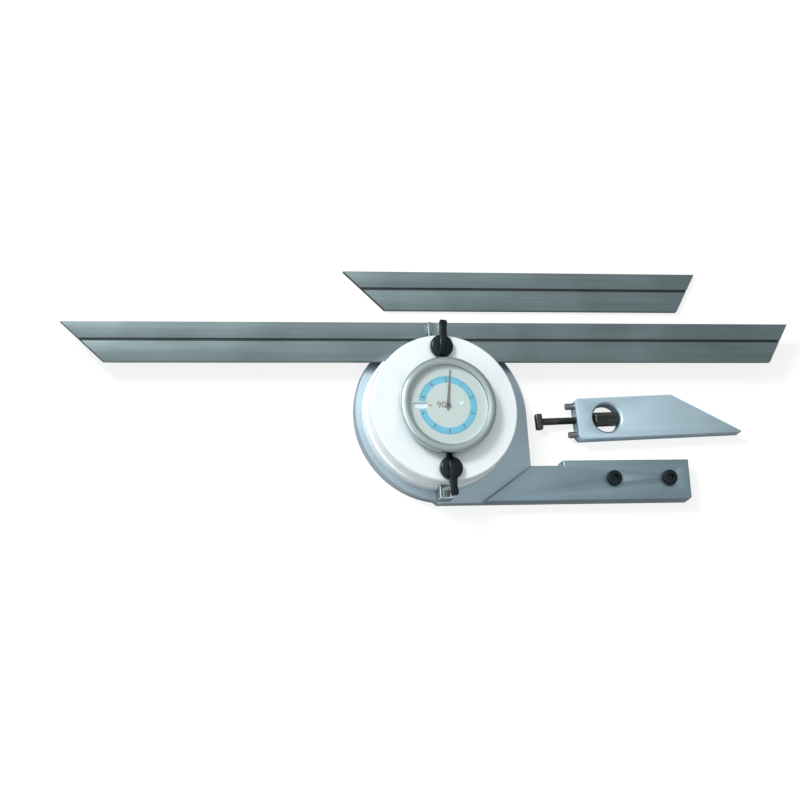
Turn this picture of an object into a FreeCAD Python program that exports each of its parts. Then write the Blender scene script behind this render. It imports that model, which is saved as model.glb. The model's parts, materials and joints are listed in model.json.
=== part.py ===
import FreeCAD, Part
import math
import os
import re
import Sketcher

# Universal bevel protractor with a dial, its spare blade and its acute-angle attachment.
# Millimetres. +Z is up and the dial faces up: the protractor lies on its back on Z = 0.
# The turret turns about the Z axis, X runs along the stock and Y points from it to the blade.

SIZES = [
    # frame: a round plate with a straight foot that carries the stock
    ("plate_thickness", 5.0, "round plate"),
    ("plate_rim", 4.7, "round plate, out from the turret base"),
    ("plate_shift_x", 2.3, "centre of the round plate, from the turret axis"),
    ("plate_shift_y", 0.8, "centre of the round plate, from the turret axis"),
    ("foot_edge", 35.2, "working edge of the stock, from the turret axis"),
    ("foot_start", 1.5, "left end of the straight working edge, from the turret axis"),
    ("foot_step", 2.0, "slanted step from the round plate to the working edge, along"),
    ("foot_rise", 1.7, "slanted step from the round plate to the working edge, across"),
    ("stock_width", 16.5, "stock, across"),
    ("stock_end", 103.8, "right end of the stock, from the turret axis"),
    ("neck_step", 2.1, "step where the stock narrows towards the plate"),
    ("neck_end", 50.5, "where the narrow neck ends, from the turret axis"),
    ("stock_corner", 1.0, "broken corner at the end of the stock"),
    ("stock_seat", 2.0, "depth to which the hardened stock is let into the plate"),
    ("stock_proud", 1.5, "height of the stock above the plate"),
    ("stock_slant_start", 16.2, "slanted end of the stock, at the working edge"),
    ("stock_slant_inset", 0.3, "slanted end of the stock, back from the plate's flank"),
    ("stock_bevel", 0.4, "bevel round the top of the stock"),
    ("stock_screw_first", 71.4, "first stock screw, from the turret axis"),
    ("stock_screw_pitch", 23.5, "between the two stock screws"),
    ("stock_screw_line", 26.3, "line of the stock screws, from the turret axis"),
    ("stock_screw_radius", 2.0, "thread of the stock screws"),
    ("stock_head_radius", 3.1, "head of the stock screws"),
    ("stock_head_height", 1.5, "head of the stock screws"),
    ("stock_socket_radius", 1.45, "hexagon socket, over its corners"),
    ("stock_socket_depth", 0.9, "hexagon socket"),
    ("stock_dowel_radius", 1.5, "hidden dowel pins under the stock"),
    ("stock_dowel_first", 30.0, "first dowel, from the turret axis"),
    ("stock_dowel_pitch", 17.0, "between the dowels"),
    ("stock_dowel_line", 28.6, "line of the dowels, from the turret axis"),
    ("skin", 0.6, "metal left over a blind hole"),
    # turret post, fixed to the plate from the back
    ("post_radius", 5.0, "journal that the turret turns on"),
    ("post_shank_radius", 6.0, "shank through the plate"),
    ("post_flange_radius", 10.0, "flange under the plate"),
    ("post_flange_height", 2.0, "flange under the plate"),
    ("post_screw_circle", 8.1, "radius of the circle of post screws"),
    ("post_screw_radius", 0.9, "post screws"),
    ("post_screw_head_radius", 1.6, "post screws"),
    ("post_screw_head_height", 0.9, "post screws"),
    ("post_screw_length", 2.4, "post screws, under the head"),
    ("cover_radius", 13.0, "back cover"),
    ("cover_thickness", 1.0, "back cover"),
    ("cover_screw_circle", 11.6, "radius of the circle of back cover screws"),
    ("cover_screw_radius", 0.6, "back cover screws"),
    ("cover_screw_head_radius", 1.1, "back cover screws"),
    ("cover_screw_head_height", 0.5, "back cover screws"),
    ("cover_screw_length", 1.9, "back cover screws, under the head"),
    # turret: a base with the blade slot, and a dial housing screwed on it
    ("turret_gap", 0.1, "running gap between the plate and the turret"),
    ("base_radius", 30.4, "turret base: the plate, the housing and the jaws follow it"),
    ("base_floor", 3.0, "floor of the turret base"),
    ("base_ledge", 2.4, "ledge in the turret base under the movement plate"),
    ("base_bevel", 0.5, "bevel round the top of the turret base"),
    ("bush_wall", 2.0, "bronze bush"),
    ("bush_clearance", 0.04, "running clearance of the turret on its post"),
    ("housing_step", 0.8, "dial housing, in from the turret base"),
    ("housing_height", 7.6, "dial housing, up to its flat top"),
    ("housing_top", 1.6, "top wall of the dial housing"),
    ("housing_cavity_gap", 0.9, "gear space of the housing, out from the idler wheel's pitch circle"),
    ("housing_bevel", 0.5, "bevel round the flat top"),
    ("housing_groove_depth", 0.35, "turned line round the dial housing"),
    ("housing_groove_width", 0.5, "turned line round the dial housing"),
    ("housing_groove_drop", 2.6, "turned line, below the flat top"),
    ("neck_bore", 15.0, "neck of the dial housing, inside radius"),
    ("neck_radius", 16.6, "neck of the dial housing, outside radius"),
    ("neck_height", 3.3, "neck of the dial housing"),
    ("housing_screw_radius", 1.2, "housing screws"),
    ("housing_screw_head_radius", 2.2, "housing screws"),
    ("housing_screw_head_height", 1.5, "housing screws"),
    ("housing_screw_sink", 0.2, "heads below the face of the base"),
    ("housing_screw_length", 8.0, "housing screws, under the head"),
    # blades
    ("blade_length", 300.0, "long blade, point to point"),
    ("short_blade_length", 149.6, "spare blade, point to point"),
    ("blade_width", 16.1, "both blades"),
    ("blade_thickness", 2.0, "both blades"),
    ("blade_groove_width", 1.1, "clamping groove"),
    ("blade_groove_depth", 0.6, "clamping groove"),
    ("blade_groove_line", 8.85, "clamping groove, from the blade's inner edge"),
    ("blade_left_angle", 45.0, "angle of the left point"),
    ("blade_right_angle", 60.0, "angle of the right point"),
    ("blade_inset", 9.3, "inner edge of the blade, in from the rim of the turret base"),
    ("blade_reach_left", 148.2, "left point of the blade, from the turret axis"),
    ("blade_seat", 3.25, "turret base under the blade"),
    ("blade_clearance", 0.05, "sliding clearance of the blade"),
    ("blade_headroom", 0.3, "between the blade and the dial housing"),
    ("short_blade_reach_left", 33.1, "left point of the spare blade, from the turret axis"),
    ("short_blade_gap", 7.8, "between the two blades, as the spare one is laid down"),
    # clamping levers, their studs and what they press
    ("stud_inset", 0.35, "both levers, in from the middle of the housing wall"),
    ("stud_radius", 1.5, "studs"),
    ("stud_clearance", 0.05, "studs in their holes"),
    ("stud_collar_radius", 2.7, "collar under the top wall"),
    ("stud_collar_height", 0.7, "collar under the top wall"),
    ("stud_pocket_radius", 3.2, "space round the collar"),
    ("stud_into_lever", 2.4, "stud inside the lever's hub"),
    ("stud_tip_gap", 0.25, "end of the stud above the underside of its jaw"),
    ("lever_gap", 0.15, "under the lever"),
    ("lever_hub_radius", 4.6, "round hub"),
    ("lever_hub_height", 2.7, "round hub"),
    ("lever_dome", 0.7, "rounded edge of the hub"),
    ("lever_reach", 10.9, "tip of the lever, from its stud"),
    ("lever_width", 3.0, "handle"),
    ("lever_tip_height", 2.2, "handle, at its tip"),
    ("lever_root_height", 3.5, "handle, at the edge of the hub"),
    ("lever_crown_height", 4.1, "handle, over its stud"),
    ("lever_tail_reach", 6.0, "short tail of the lever, from its stud"),
    ("lever_tail_height", 2.2, "short tail"),
    ("lever_tail_width", 2.6, "short tail"),
    ("lever_relief", 0.1, "handle and tail above the underside of the hub"),
    ("lever_tip_bevel", 0.65, "corners at the tip of the handle"),
    ("blade_lever_angle", 82.0, "direction of the blade lever"),
    ("lock_lever_angle", -86.5, "direction of the lock lever"),
    ("jaw_width", 6.0, "clamping jaws"),
    ("jaw_side_gap", 0.1, "jaws in their notches"),
    ("jaw_inner_gap", 1.3, "inner end of the jaws, out from the gear space"),
    ("jaw_lift_gap", 0.35, "room above the jaws"),
    ("blade_jaw_height", 2.7, "blade jaw"),
    ("blade_jaw_gap", 0.1, "blade jaw above the blade"),
    ("blade_jaw_inset", 0.6, "outer end of the blade jaw, in from the blade's outer edge"),
    ("tongue_width", 0.8, "tongue of the blade jaw in the groove"),
    ("tongue_gap", 0.12, "tongue above the floor of the groove"),
    ("lock_jaw_height", 3.0, "arm of the lock jaw"),
    ("lock_jaw_level", 9.0, "underside of the arm of the lock jaw"),
    ("lock_jaw_gap", 0.1, "foot of the lock jaw above the plate"),
    ("lock_jaw_reach", 4.2, "outer end of the lock jaw, out from the turret base"),
    ("lock_foot_gap", 0.4, "between the foot and the turret base"),
    ("jaw_channel_width", 3.2, "channel in the top of both jaws"),
    ("jaw_channel_depth", 0.8, "channel in the top of both jaws"),
    ("jaw_channel_gap", 0.5, "inner end of the channel, out from the turret base"),
    # gear train: 10 degrees of the turret turn the pointer once
    ("gear_module", 0.25, "all gears"),
    ("tooth_depth_ratio", 1.25, "tooth inside the pitch circle, in modules"),
    ("tooth_height_ratio", 0.85, "tooth outside the pitch circle, in modules"),
    ("tooth_root_ratio", 0.62, "half of the tooth at its root, in modules"),
    ("tooth_root_share", 0.30, "half of the tooth at its root, at most, as a share of the step"),
    ("tooth_tip_ratio", 0.20, "half of the tooth at its tip, in modules"),
    ("wheel_teeth", 72, "fixed sun gear, idler wheel and tens wheel"),
    ("pinion_teeth", 12, "pinions"),
    ("gear_thickness", 1.2, "sun gear, tens wheel and pinions"),
    ("wheel_thickness", 0.8, "idler wheel"),
    ("gear_gap", 0.1, "between the gears and the walls beside them"),
    ("sun_seat_radius", 4.0, "seat of the sun gear on the post"),
    ("sun_thread_radius", 3.0, "thread above the seat"),
    ("sun_nut_radius", 5.5, "nut on the sun gear"),
    ("sun_nut_height", 0.9, "nut on the sun gear"),
    ("arbor_radius", 0.8, "arbors"),
    ("arbor_clearance", 0.05, "arbors in their plates"),
    ("pivot_depth", 1.6, "blind pivot of the idler arbor in the base"),
    ("idler_wheel_level", 14.1, "underside of the idler wheel"),
    ("idler_hub_radius", 2.2, "hub of the idler wheel"),
    ("idler_hub_height", 1.0, "hub of the idler wheel"),
    ("movement_plate_gap", 0.2, "lower plate of the movement, in from the gear space"),
    ("movement_plate_thickness", 1.0, "lower plate of the movement"),
    ("movement_screw_inset", 1.5, "movement screws, in from the gear space"),
    ("movement_screw_radius", 0.7, "movement screws"),
    ("movement_screw_head_radius", 1.25, "movement screws and bridge screws"),
    ("movement_screw_head_height", 0.8, "movement screws and bridge screws"),
    ("movement_screw_length", 2.4, "movement screws, under the head and the plate"),
    ("pillar_circle", 13.0, "radius of the circle of pillars"),
    ("pillar_radius", 1.5, "pillars"),
    ("bridge_radius", 14.6, "upper plate of the movement"),
    ("bridge_thickness", 1.0, "upper plate of the movement"),
    ("bridge_boss_radius", 2.4, "boss that the tens wheel turns on"),
    ("bridge_screw_length", 3.0, "bridge screws, under the head and the bridge"),
    # dial, pointer and bezel
    ("tens_disc_radius", 14.4, "printed disc under the dial"),
    ("tens_disc_thickness", 0.25, "printed disc under the dial"),
    ("tens_disc_drop", 0.35, "printed disc below the dial"),
    ("dial_radius", 16.7, "dial face"),
    ("dial_thickness", 0.4, "dial face"),
    ("dial_hole_radius", 1.3, "hole for the pointer arbor"),
    ("window_inner", 8.2, "inner end of the dial window"),
    ("window_outer", 14.0, "outer end of the dial window"),
    ("window_height", 2.2, "dial window"),
    ("pointer_length", 14.6, "tip of the pointer, from the axis"),
    ("pointer_tail", 2.0, "tail of the pointer"),
    ("pointer_reading", -7.5, "direction of the pointer, from the twelve o'clock mark"),
    ("pointer_root_width", 1.3, "pointer at its hub"),
    ("pointer_tip_width", 0.35, "pointer at its tip"),
    ("pointer_thickness", 0.2, "pointer"),
    ("pointer_hub_radius", 1.15, "hub of the pointer"),
    ("pointer_hub_height", 0.6, "hub of the pointer"),
    ("pointer_gap", 0.1, "hub of the pointer above the dial"),
    ("spacer_wall", 0.7, "spacer ring between dial and crystal"),
    ("spacer_height", 0.95, "spacer ring between dial and crystal"),
    ("crystal_thickness", 0.8, "crystal"),
    ("bezel_radius", 19.4, "rim of the bezel"),
    ("bezel_skirt_wall", 0.8, "skirt round the neck"),
    ("bezel_skirt_height", 2.8, "skirt, from just above the flat top"),
    ("bezel_lift", 0.1, "skirt above the flat top"),
    ("bezel_lip", 0.5, "lip over the crystal, thickness"),
    ("bezel_lip_reach", 0.7, "lip over the crystal, across"),
    ("bezel_bevel", 0.8, "bevel round the rim"),
    ("fit_gap", 0.05, "round parts that slip into each other"),
    # acute-angle attachment, laid beside the stock
    ("acute_x", 58.3, "middle of its left face, from the turret axis"),
    ("acute_y", -1.5, "middle of its left face, from the turret axis"),
    ("acute_turn", 2.2, "angle at which it lies"),
    ("acute_length", 69.8, "working edge"),
    ("acute_width", 16.8, "block"),
    ("acute_thickness", 6.0, "block"),
    ("acute_angle", 30.0, "point of the block"),
    ("acute_tip_flat", 0.4, "blunt point"),
    ("acute_corner", 1.2, "broken corners of the left face"),
    ("acute_window_x", 12.8, "centre of the round window, from the left face"),
    ("acute_window_radius", 5.8, "round window"),
    ("acute_window_bevel", 0.8, "bevel round the window"),
    ("acute_bolt_radius", 1.45, "clamping bolt"),
    ("acute_bolt_clearance", 0.05, "bolt in its bore and in the nut"),
    ("acute_bolt_reach", 14.0, "bolt out of the left face, up to its head"),
    ("acute_bolt_inside", 16.0, "bolt behind the left face"),
    ("acute_head_thickness", 2.6, "head of the bolt, along it"),
    ("acute_head_length", 6.3, "head of the bolt"),
    ("acute_head_height", 2.8, "head of the bolt"),
    ("acute_bore_beyond", 5.0, "blind bore beyond the window"),
    ("acute_nut_radius", 2.9, "knurled nut"),
    ("acute_nut_length", 9.6, "knurled nut"),
    ("acute_nut_bevel", 0.4, "knurled nut"),
    ("acute_pin_radius", 1.3, "locating pins"),
    ("acute_pin_spacing", 11.8, "between the locating pins"),
    ("acute_pin_reach", 3.3, "locating pins out of the left face"),
    ("acute_pin_depth", 6.0, "locating pins behind the left face"),
]

# Places worked out from the sizes, written as expressions of them.
PLACES = {
    "wheel_pitch_radius": "gear_module * wheel_teeth / 2",
    "centre_distance": "gear_module * (wheel_teeth + pinion_teeth) / 2",
    "housing_cavity_radius": "centre_distance + wheel_pitch_radius + housing_cavity_gap",
    "base_cavity_radius": "housing_cavity_radius - base_ledge",
    "movement_plate_radius": "housing_cavity_radius - movement_plate_gap",
    "movement_screw_circle": "housing_cavity_radius - movement_screw_inset",
    "housing_radius": "base_radius - housing_step",
    "housing_wall_middle": "(housing_cavity_radius + housing_radius) / 2",
    "stud_circle": "housing_wall_middle - stud_inset",
    "plate_radius": "base_radius + plate_rim",
    "blade_inner_edge": "base_radius - blade_inset",
    "blade_outer_edge": "blade_inner_edge + blade_width",
    "short_blade_inner_edge": "blade_outer_edge + short_blade_gap",
    "jaw_inner_reach": "housing_cavity_radius + jaw_inner_gap",
    "blade_jaw_outer_reach": "blade_outer_edge - blade_jaw_inset",
    "lock_jaw_outer_reach": "base_radius + lock_jaw_reach",
    "jaw_channel_inner": "base_radius + jaw_channel_gap",
    "stock_top": "plate_thickness + stock_proud",
    "stock_floor": "plate_thickness - stock_seat",
    "stock_upper_edge": "foot_edge - stock_width",
    "neck_upper_edge": "foot_edge - stock_width + neck_step",
    "plate_flank": "plate_shift_x + plate_radius",
    "stock_slant_end": "plate_shift_x + plate_radius - stock_slant_inset",
    "post_flange_top": "cover_thickness + post_flange_height",
    "base_bottom": "plate_thickness + turret_gap",
    "base_floor_top": "plate_thickness + turret_gap + base_floor",
    "slot_floor": "plate_thickness + turret_gap + blade_seat",
    "blade_level": "slot_floor + blade_clearance",
    "blade_top": "blade_level + blade_thickness",
    "base_top": "blade_top + blade_headroom",
    "housing_level": "base_top + housing_height",
    "ceiling": "housing_level - housing_top",
    "neck_top": "housing_level + neck_height",
    "groove_line": "blade_inner_edge + blade_groove_line",
    "blade_jaw_level": "blade_top + blade_jaw_gap",
    "collar_top": "ceiling - gear_gap",
    "lever_level": "housing_level + lever_gap",
    "sun_level": "base_floor_top + gear_gap",
    "sun_top": "sun_level + gear_thickness",
    "movement_top": "base_top + movement_plate_thickness",
    "bridge_level": "housing_level + gear_gap",
    "bridge_top": "bridge_level + bridge_thickness",
    "tens_disc_top": "neck_top - tens_disc_drop",
    "tens_disc_level": "tens_disc_top - tens_disc_thickness",
    "tens_wheel_level": "tens_disc_level - gear_thickness",
    "dial_top": "neck_top + dial_thickness",
    "pointer_level": "dial_top + pointer_gap",
    "crystal_level": "dial_top + spacer_height",
    "crystal_top": "crystal_level + crystal_thickness",
    "bezel_bore": "dial_radius + 2 * fit_gap",
    "bezel_shoulder": "housing_level + bezel_lift + bezel_skirt_height",
    "bezel_top": "crystal_top + bezel_lip",
    "acute_axis": "acute_thickness / 2",
}

THREE = (90, 210, 330)
HOUSING_SCREW_ANGLES = (20, 160, 200, 340)
MOVEMENT_SCREW_ANGLES = (30, 150, 270)
PILLAR_ANGLES = (90, 180, 270)

document = FreeCAD.newDocument("bevel_protractor")
sheet = document.addObject("Spreadsheet::Sheet", "sizes")
for row, (alias, value, note) in enumerate(SIZES, start=1):
    sheet.set(f"A{row}", alias.replace("_", " "))
    sheet.set(f"B{row}", str(value))
    sheet.setAlias(f"B{row}", alias)
    sheet.set(f"C{row}", note)
document.recompute()

ALIASES = {alias for alias, _, _ in SIZES}


def full(text):
    """Write an expression out in cells of the sheet."""
    def swap(match):
        word = match.group(0)
        if word in ALIASES:
            return "sizes." + word
        if word in PLACES:
            return "(" + full(PLACES[word]) + ")"
        return word
    return re.sub(r"[a-z][a-z_]+", swap, str(text))


def number(text):
    """The value that an expression has now."""
    return float(sheet.evalExpression(full(text)))


def bind(thing, path, text):
    thing.setExpression(path, full(text))


def put(thing, x="0", y="0", z="0"):
    """Bind the place of an object."""
    for axis, text in zip("xyz", (x, y, z)):
        bind(thing, f"Placement.Base.{axis}", text)
    return thing


def turn(thing, angle):
    """Bind the direction of an object that stands on the XY plane."""
    thing.Placement.Rotation = FreeCAD.Rotation(FreeCAD.Vector(0, 0, 1), number(angle))
    bind(thing, "Placement.Rotation.Angle", angle)
    return thing


def around(circle, angle):
    """A place on a circle about the turret axis."""
    return f"{circle} * cos({angle})", f"{circle} * sin({angle})"


# Sketches and features of bodies

def body(label):
    thing = document.addObject("PartDesign::Body", label)
    thing.Label = label
    return thing


def sketch(owner, role="XY_Plane", level="0"):
    drawing = owner.newObject("Sketcher::SketchObject", owner.Name + "_sketch")
    plane = [item for item in owner.Origin.OriginFeatures if item.Role == role][0]
    drawing.AttachmentSupport = [(plane, "")]
    drawing.MapMode = "FlatFace"
    bind(drawing, "AttachmentOffset.Base.z", level)
    return drawing


def fix(drawing, element, point, x, y):
    """Hold a point of a sketch at bound distances from the sketch's origin."""
    for kind, text in (("DistanceX", x), ("DistanceY", y)):
        index = drawing.addConstraint(
            Sketcher.Constraint(kind, -1, 1, element, point, number(text)))
        bind(drawing, f"Constraints[{index}]", text)


def polygon(drawing, corners):
    points = [FreeCAD.Vector(number(x), number(y), 0) for x, y in corners]
    first = drawing.GeometryCount
    for start, end in zip(points, points[1:] + points[:1]):
        drawing.addGeometry(Part.LineSegment(start, end), False)
    count = len(points)
    for index in range(count):
        follower = first + (index + 1) % count
        drawing.addConstraint(Sketcher.Constraint("Coincident", first + index, 2, follower, 1))
    for index, (x, y) in enumerate(corners):
        fix(drawing, first + index, 1, x, y)
    return drawing


def circle(drawing, radius, x="0", y="0"):
    centre = FreeCAD.Vector(number(x), number(y), 0)
    index = drawing.addGeometry(
        Part.Circle(centre, FreeCAD.Vector(0, 0, 1), number(radius)), False)
    fix(drawing, index, 3, x, y)
    held = drawing.addConstraint(Sketcher.Constraint("Radius", index, number(radius)))
    bind(drawing, f"Constraints[{held}]", radius)
    return drawing


def pad(owner, drawing, height, both_sides=False):
    feature = owner.newObject("PartDesign::Pad", owner.Name + "_pad")
    feature.Profile = drawing
    bind(feature, "Length", height)
    if both_sides:
        feature.SideType = "Symmetric"
    return feature


def pocket(owner, drawing, depth, forward=False):
    """Cut away from the sketch: against its normal, or along it when forward."""
    feature = owner.newObject("PartDesign::Pocket", owner.Name + "_pocket")
    feature.Profile = drawing
    bind(feature, "Length", depth)
    feature.Reversed = forward
    return feature


def turned(label, profile):
    """A body turned about its own Z axis from a profile of radius and height."""
    owner = body(label)
    drawing = polygon(sketch(owner, "XZ_Plane"), profile)
    feature = owner.newObject("PartDesign::Revolution", label + "_turned")
    feature.Profile = drawing
    feature.ReferenceAxis = (drawing, ["V_Axis"])
    feature.Angle = 360
    document.recompute()
    return owner


def bevel(owner, size, picked):
    """Bevel the edges of the body's last shape that the test picks."""
    document.recompute()
    base = owner.Tip
    names = [f"Edge{index}" for index, edge in enumerate(base.Shape.Edges, start=1) if picked(edge)]
    feature = owner.newObject("PartDesign::Chamfer", owner.Name + "_bevel")
    feature.Base = (base, names)
    bind(feature, "Size", size)
    return feature


def lies_at(level):
    """Picks the edges that lie flat at a height."""
    height = number(level)
    return lambda edge: all(abs(point.Z - height) < 1e-4 for point in edge.Vertexes)


# Part primitives

def cylinder(name, radius, height, x="0", y="0", z="0"):
    thing = document.addObject("Part::Cylinder", name)
    bind(thing, "Radius", radius)
    bind(thing, "Height", height)
    return put(thing, x, y, z)


def hexagon(name, radius, height, x="0", y="0", z="0"):
    thing = document.addObject("Part::Prism", name)
    thing.Polygon = 6
    bind(thing, "Circumradius", radius)
    bind(thing, "Height", height)
    return put(thing, x, y, z)


def fuse(name, pieces):
    thing = document.addObject("Part::MultiFuse", name)
    thing.Shapes = pieces
    return thing


def cut(name, base, tool):
    thing = document.addObject("Part::Cut", name)
    thing.Base = base
    thing.Tool = tool
    return thing


def group(label, pieces):
    thing = document.addObject("Part::Compound", label)
    thing.Label = label
    thing.Links = pieces
    return thing


def screws(label, places, head, shank, level, head_below=False, socket=None):
    """Equal screws: head and shank are radius and height, level is the face under the head."""
    pieces = []
    for index, (x, y) in enumerate(places):
        name = f"{label}_{index}"
        head_level = f"{level} - {head[1]}" if head_below else level
        shank_level = level if head_below else f"{level} - ({shank[1]})"
        parts = [
            cylinder(name + "_head", head[0], head[1], x, y, head_level),
            cylinder(name + "_shank", shank[0], shank[1], x, y, shank_level),
        ]
        piece = fuse(name, parts)
        if socket:
            socket_level = f"{level} + {head[1]} - {socket[1]}"
            tool = hexagon(name + "_socket", socket[0], socket[1], x, y, socket_level)
            piece = cut(name + "_with_socket", piece, tool)
        pieces.append(piece)
    return group(label, pieces)


# Frame

def stock_outline(left_corners):
    """Outline of the stock to the right of its left end, counter-clockwise from the foot edge."""
    return [
        ("stock_end - stock_corner", "-foot_edge"),
        ("stock_end", "-foot_edge + stock_corner"),
        ("stock_end", "-stock_upper_edge"),
        ("neck_end", "-stock_upper_edge"),
        ("neck_end", "-neck_upper_edge"),
    ] + left_corners


def make_frame_plate():
    plate = body("frame_plate")
    drawing = circle(sketch(plate), "plate_radius", "plate_shift_x", "plate_shift_y")
    pad(plate, drawing, "plate_thickness")
    outline = stock_outline([
        ("plate_flank", "-neck_upper_edge"),
        ("plate_flank", "plate_shift_y"),
        ("plate_shift_x", "plate_shift_y"),
        ("-foot_start - foot_step", "-foot_edge + foot_rise"),
        ("-foot_start", "-foot_edge"),
    ])
    pad(plate, polygon(sketch(plate), outline), "plate_thickness")
    pocket(plate, polygon(sketch(plate, level="plate_thickness"), seat_outline()), "stock_seat")
    pocket(plate, circle(sketch(plate, level="plate_thickness"), "post_shank_radius + fit_gap"),
           "plate_thickness")
    flange_seat = circle(sketch(plate), "post_flange_radius + fit_gap")
    pocket(plate, flange_seat, "post_flange_top", forward=True)
    pocket(plate, circle(sketch(plate), "cover_radius + fit_gap"), "cover_thickness", forward=True)
    screw_holes = sketch(plate, level="stock_floor")
    for x in stock_screw_places():
        circle(screw_holes, "stock_screw_radius", x, "-stock_screw_line")
    pocket(plate, screw_holes, "stock_floor - skin")
    dowel_holes = sketch(plate, level="stock_floor")
    for x in stock_dowel_places():
        circle(dowel_holes, "stock_dowel_radius", x, "-stock_dowel_line")
    pocket(plate, dowel_holes, "stock_floor - 2 * skin")
    post_holes = sketch(plate)
    for angle in THREE:
        x, y = around("post_screw_circle", angle)
        circle(post_holes, "post_screw_radius", x, y)
    pocket(plate, post_holes, "cover_thickness + post_screw_head_height + post_screw_length",
           forward=True)
    cover_holes = sketch(plate)
    for angle in THREE:
        x, y = around("cover_screw_circle", angle)
        circle(cover_holes, "cover_screw_radius", x, y)
    pocket(plate, cover_holes, "cover_screw_head_height + cover_screw_length", forward=True)
    return plate


def seat_outline():
    return stock_outline([
        ("stock_slant_end", "-neck_upper_edge"),
        ("stock_slant_start", "-foot_edge"),
    ])


def stock_screw_places():
    return ["stock_screw_first", "stock_screw_first + stock_screw_pitch"]


def stock_dowel_places():
    return ["stock_dowel_first", "stock_dowel_first + stock_dowel_pitch"]


def make_stock():
    stock = body("stock")
    outline = polygon(sketch(stock, level="stock_floor"), seat_outline())
    pad(stock, outline, "stock_seat + stock_proud")
    bevel(stock, "stock_bevel", lies_at("stock_top"))
    holes = sketch(stock, level="stock_top")
    for x in stock_screw_places():
        circle(holes, "stock_screw_radius", x, "-stock_screw_line")
    pocket(stock, holes, "stock_seat + stock_proud")
    holes = sketch(stock, level="stock_floor")
    for x in stock_dowel_places():
        circle(holes, "stock_dowel_radius", x, "-stock_dowel_line")
    pocket(stock, holes, "stock_seat + stock_proud - skin", forward=True)
    return stock


def make_stock_screws():
    places = [(x, "-stock_screw_line") for x in stock_screw_places()]
    head = ("stock_head_radius", "stock_head_height")
    shank = ("stock_screw_radius", "stock_top - skin")
    socket = ("stock_socket_radius", "stock_socket_depth")
    return screws("stock_screws", places, head, shank, "stock_top", socket=socket)


def make_stock_dowels():
    height = "stock_top - 3 * skin"
    pins = [
        cylinder(f"dowel_{index}", "stock_dowel_radius", height, x, "-stock_dowel_line", "2 * skin")
        for index, x in enumerate(stock_dowel_places())
    ]
    return group("stock_dowels", pins)


def make_turret_post():
    post = turned("turret_post", [
        ("0", "cover_thickness"),
        ("post_flange_radius", "cover_thickness"),
        ("post_flange_radius", "post_flange_top"),
        ("post_shank_radius", "post_flange_top"),
        ("post_shank_radius", "plate_thickness"),
        ("post_radius", "plate_thickness"),
        ("post_radius", "sun_level"),
        ("sun_seat_radius", "sun_level"),
        ("sun_seat_radius", "sun_top"),
        ("sun_thread_radius", "sun_top"),
        ("sun_thread_radius", "sun_top + sun_nut_height"),
        ("0", "sun_top + sun_nut_height"),
    ])
    heads = sketch(post, level="cover_thickness")
    holes = sketch(post, level="cover_thickness")
    for angle in THREE:
        x, y = around("post_screw_circle", angle)
        circle(heads, "post_screw_head_radius", x, y)
        circle(holes, "post_screw_radius", x, y)
    pocket(post, heads, "post_screw_head_height", forward=True)
    pocket(post, holes, "post_flange_height", forward=True)
    return post


def make_post_screws():
    places = [around("post_screw_circle", angle) for angle in THREE]
    head = ("post_screw_head_radius", "post_screw_head_height")
    shank = ("post_screw_radius", "post_screw_length")
    level = "cover_thickness + post_screw_head_height"
    return screws("post_screws", places, head, shank, level, head_below=True)


def make_back_cover():
    cover = body("back_cover")
    pad(cover, circle(sketch(cover), "cover_radius"), "cover_thickness")
    heads = sketch(cover)
    holes = sketch(cover)
    for angle in THREE:
        x, y = around("cover_screw_circle", angle)
        circle(heads, "cover_screw_head_radius", x, y)
        circle(holes, "cover_screw_radius", x, y)
    pocket(cover, heads, "cover_screw_head_height", forward=True)
    pocket(cover, holes, "cover_thickness", forward=True)
    return cover


def make_cover_screws():
    places = [around("cover_screw_circle", angle) for angle in THREE]
    head = ("cover_screw_head_radius", "cover_screw_head_height")
    shank = ("cover_screw_radius", "cover_screw_length")
    return screws("back_cover_screws", places, head, shank, "cover_screw_head_height", head_below=True)


def make_sun_nut():
    return turned("sun_gear_nut", [
        ("sun_thread_radius", "sun_top"),
        ("sun_nut_radius", "sun_top"),
        ("sun_nut_radius", "sun_top + sun_nut_height"),
        ("sun_thread_radius", "sun_top + sun_nut_height"),
    ])


# Gears: straight-flanked teeth, thin enough to run free. A wheel has a gap on its X axis and
# a pinion has a tooth there, so that they are in mesh when their centres lie along X.

def gear_outline(teeth, phase):
    module = number("gear_module")
    pitch_radius = module * teeth / 2
    root = pitch_radius - number("tooth_depth_ratio") * module
    tip = pitch_radius + number("tooth_height_ratio") * module
    step = 2 * math.pi / teeth
    half_root = min(number("tooth_root_share") * step, number("tooth_root_ratio") * module / root)
    half_tip = number("tooth_tip_ratio") * module / tip
    outline = []
    for index in range(teeth):
        middle = (index + phase) * step
        for radius, offset in ((root, -half_root), (tip, -half_tip), (tip, half_tip), (root, half_root)):
            angle = middle + offset
            outline.append(FreeCAD.Vector(radius * math.cos(angle), radius * math.sin(angle), 0))
    return Part.Face(Part.makePolygon(outline + outline[:1]))


def make_gear(label, teeth, phase, bore, thickness, place, hub=None):
    """A gear with a round bore: hub is its radius and its height below the gear."""
    height = number(thickness)
    shape = gear_outline(int(number(teeth)), phase).extrude(FreeCAD.Vector(0, 0, height))
    below = 0
    if hub:
        below = number(hub[1])
        base = FreeCAD.Vector(0, 0, -below)
        shape = shape.fuse(Part.makeCylinder(number(hub[0]), below, base))
    hole = Part.makeCylinder(number(bore), height + below, FreeCAD.Vector(0, 0, -below))
    thing = document.addObject("Part::Feature", label)
    thing.Label = label
    thing.Shape = shape.cut(hole)
    x, level = place
    return put(thing, x, "0", level)


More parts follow.
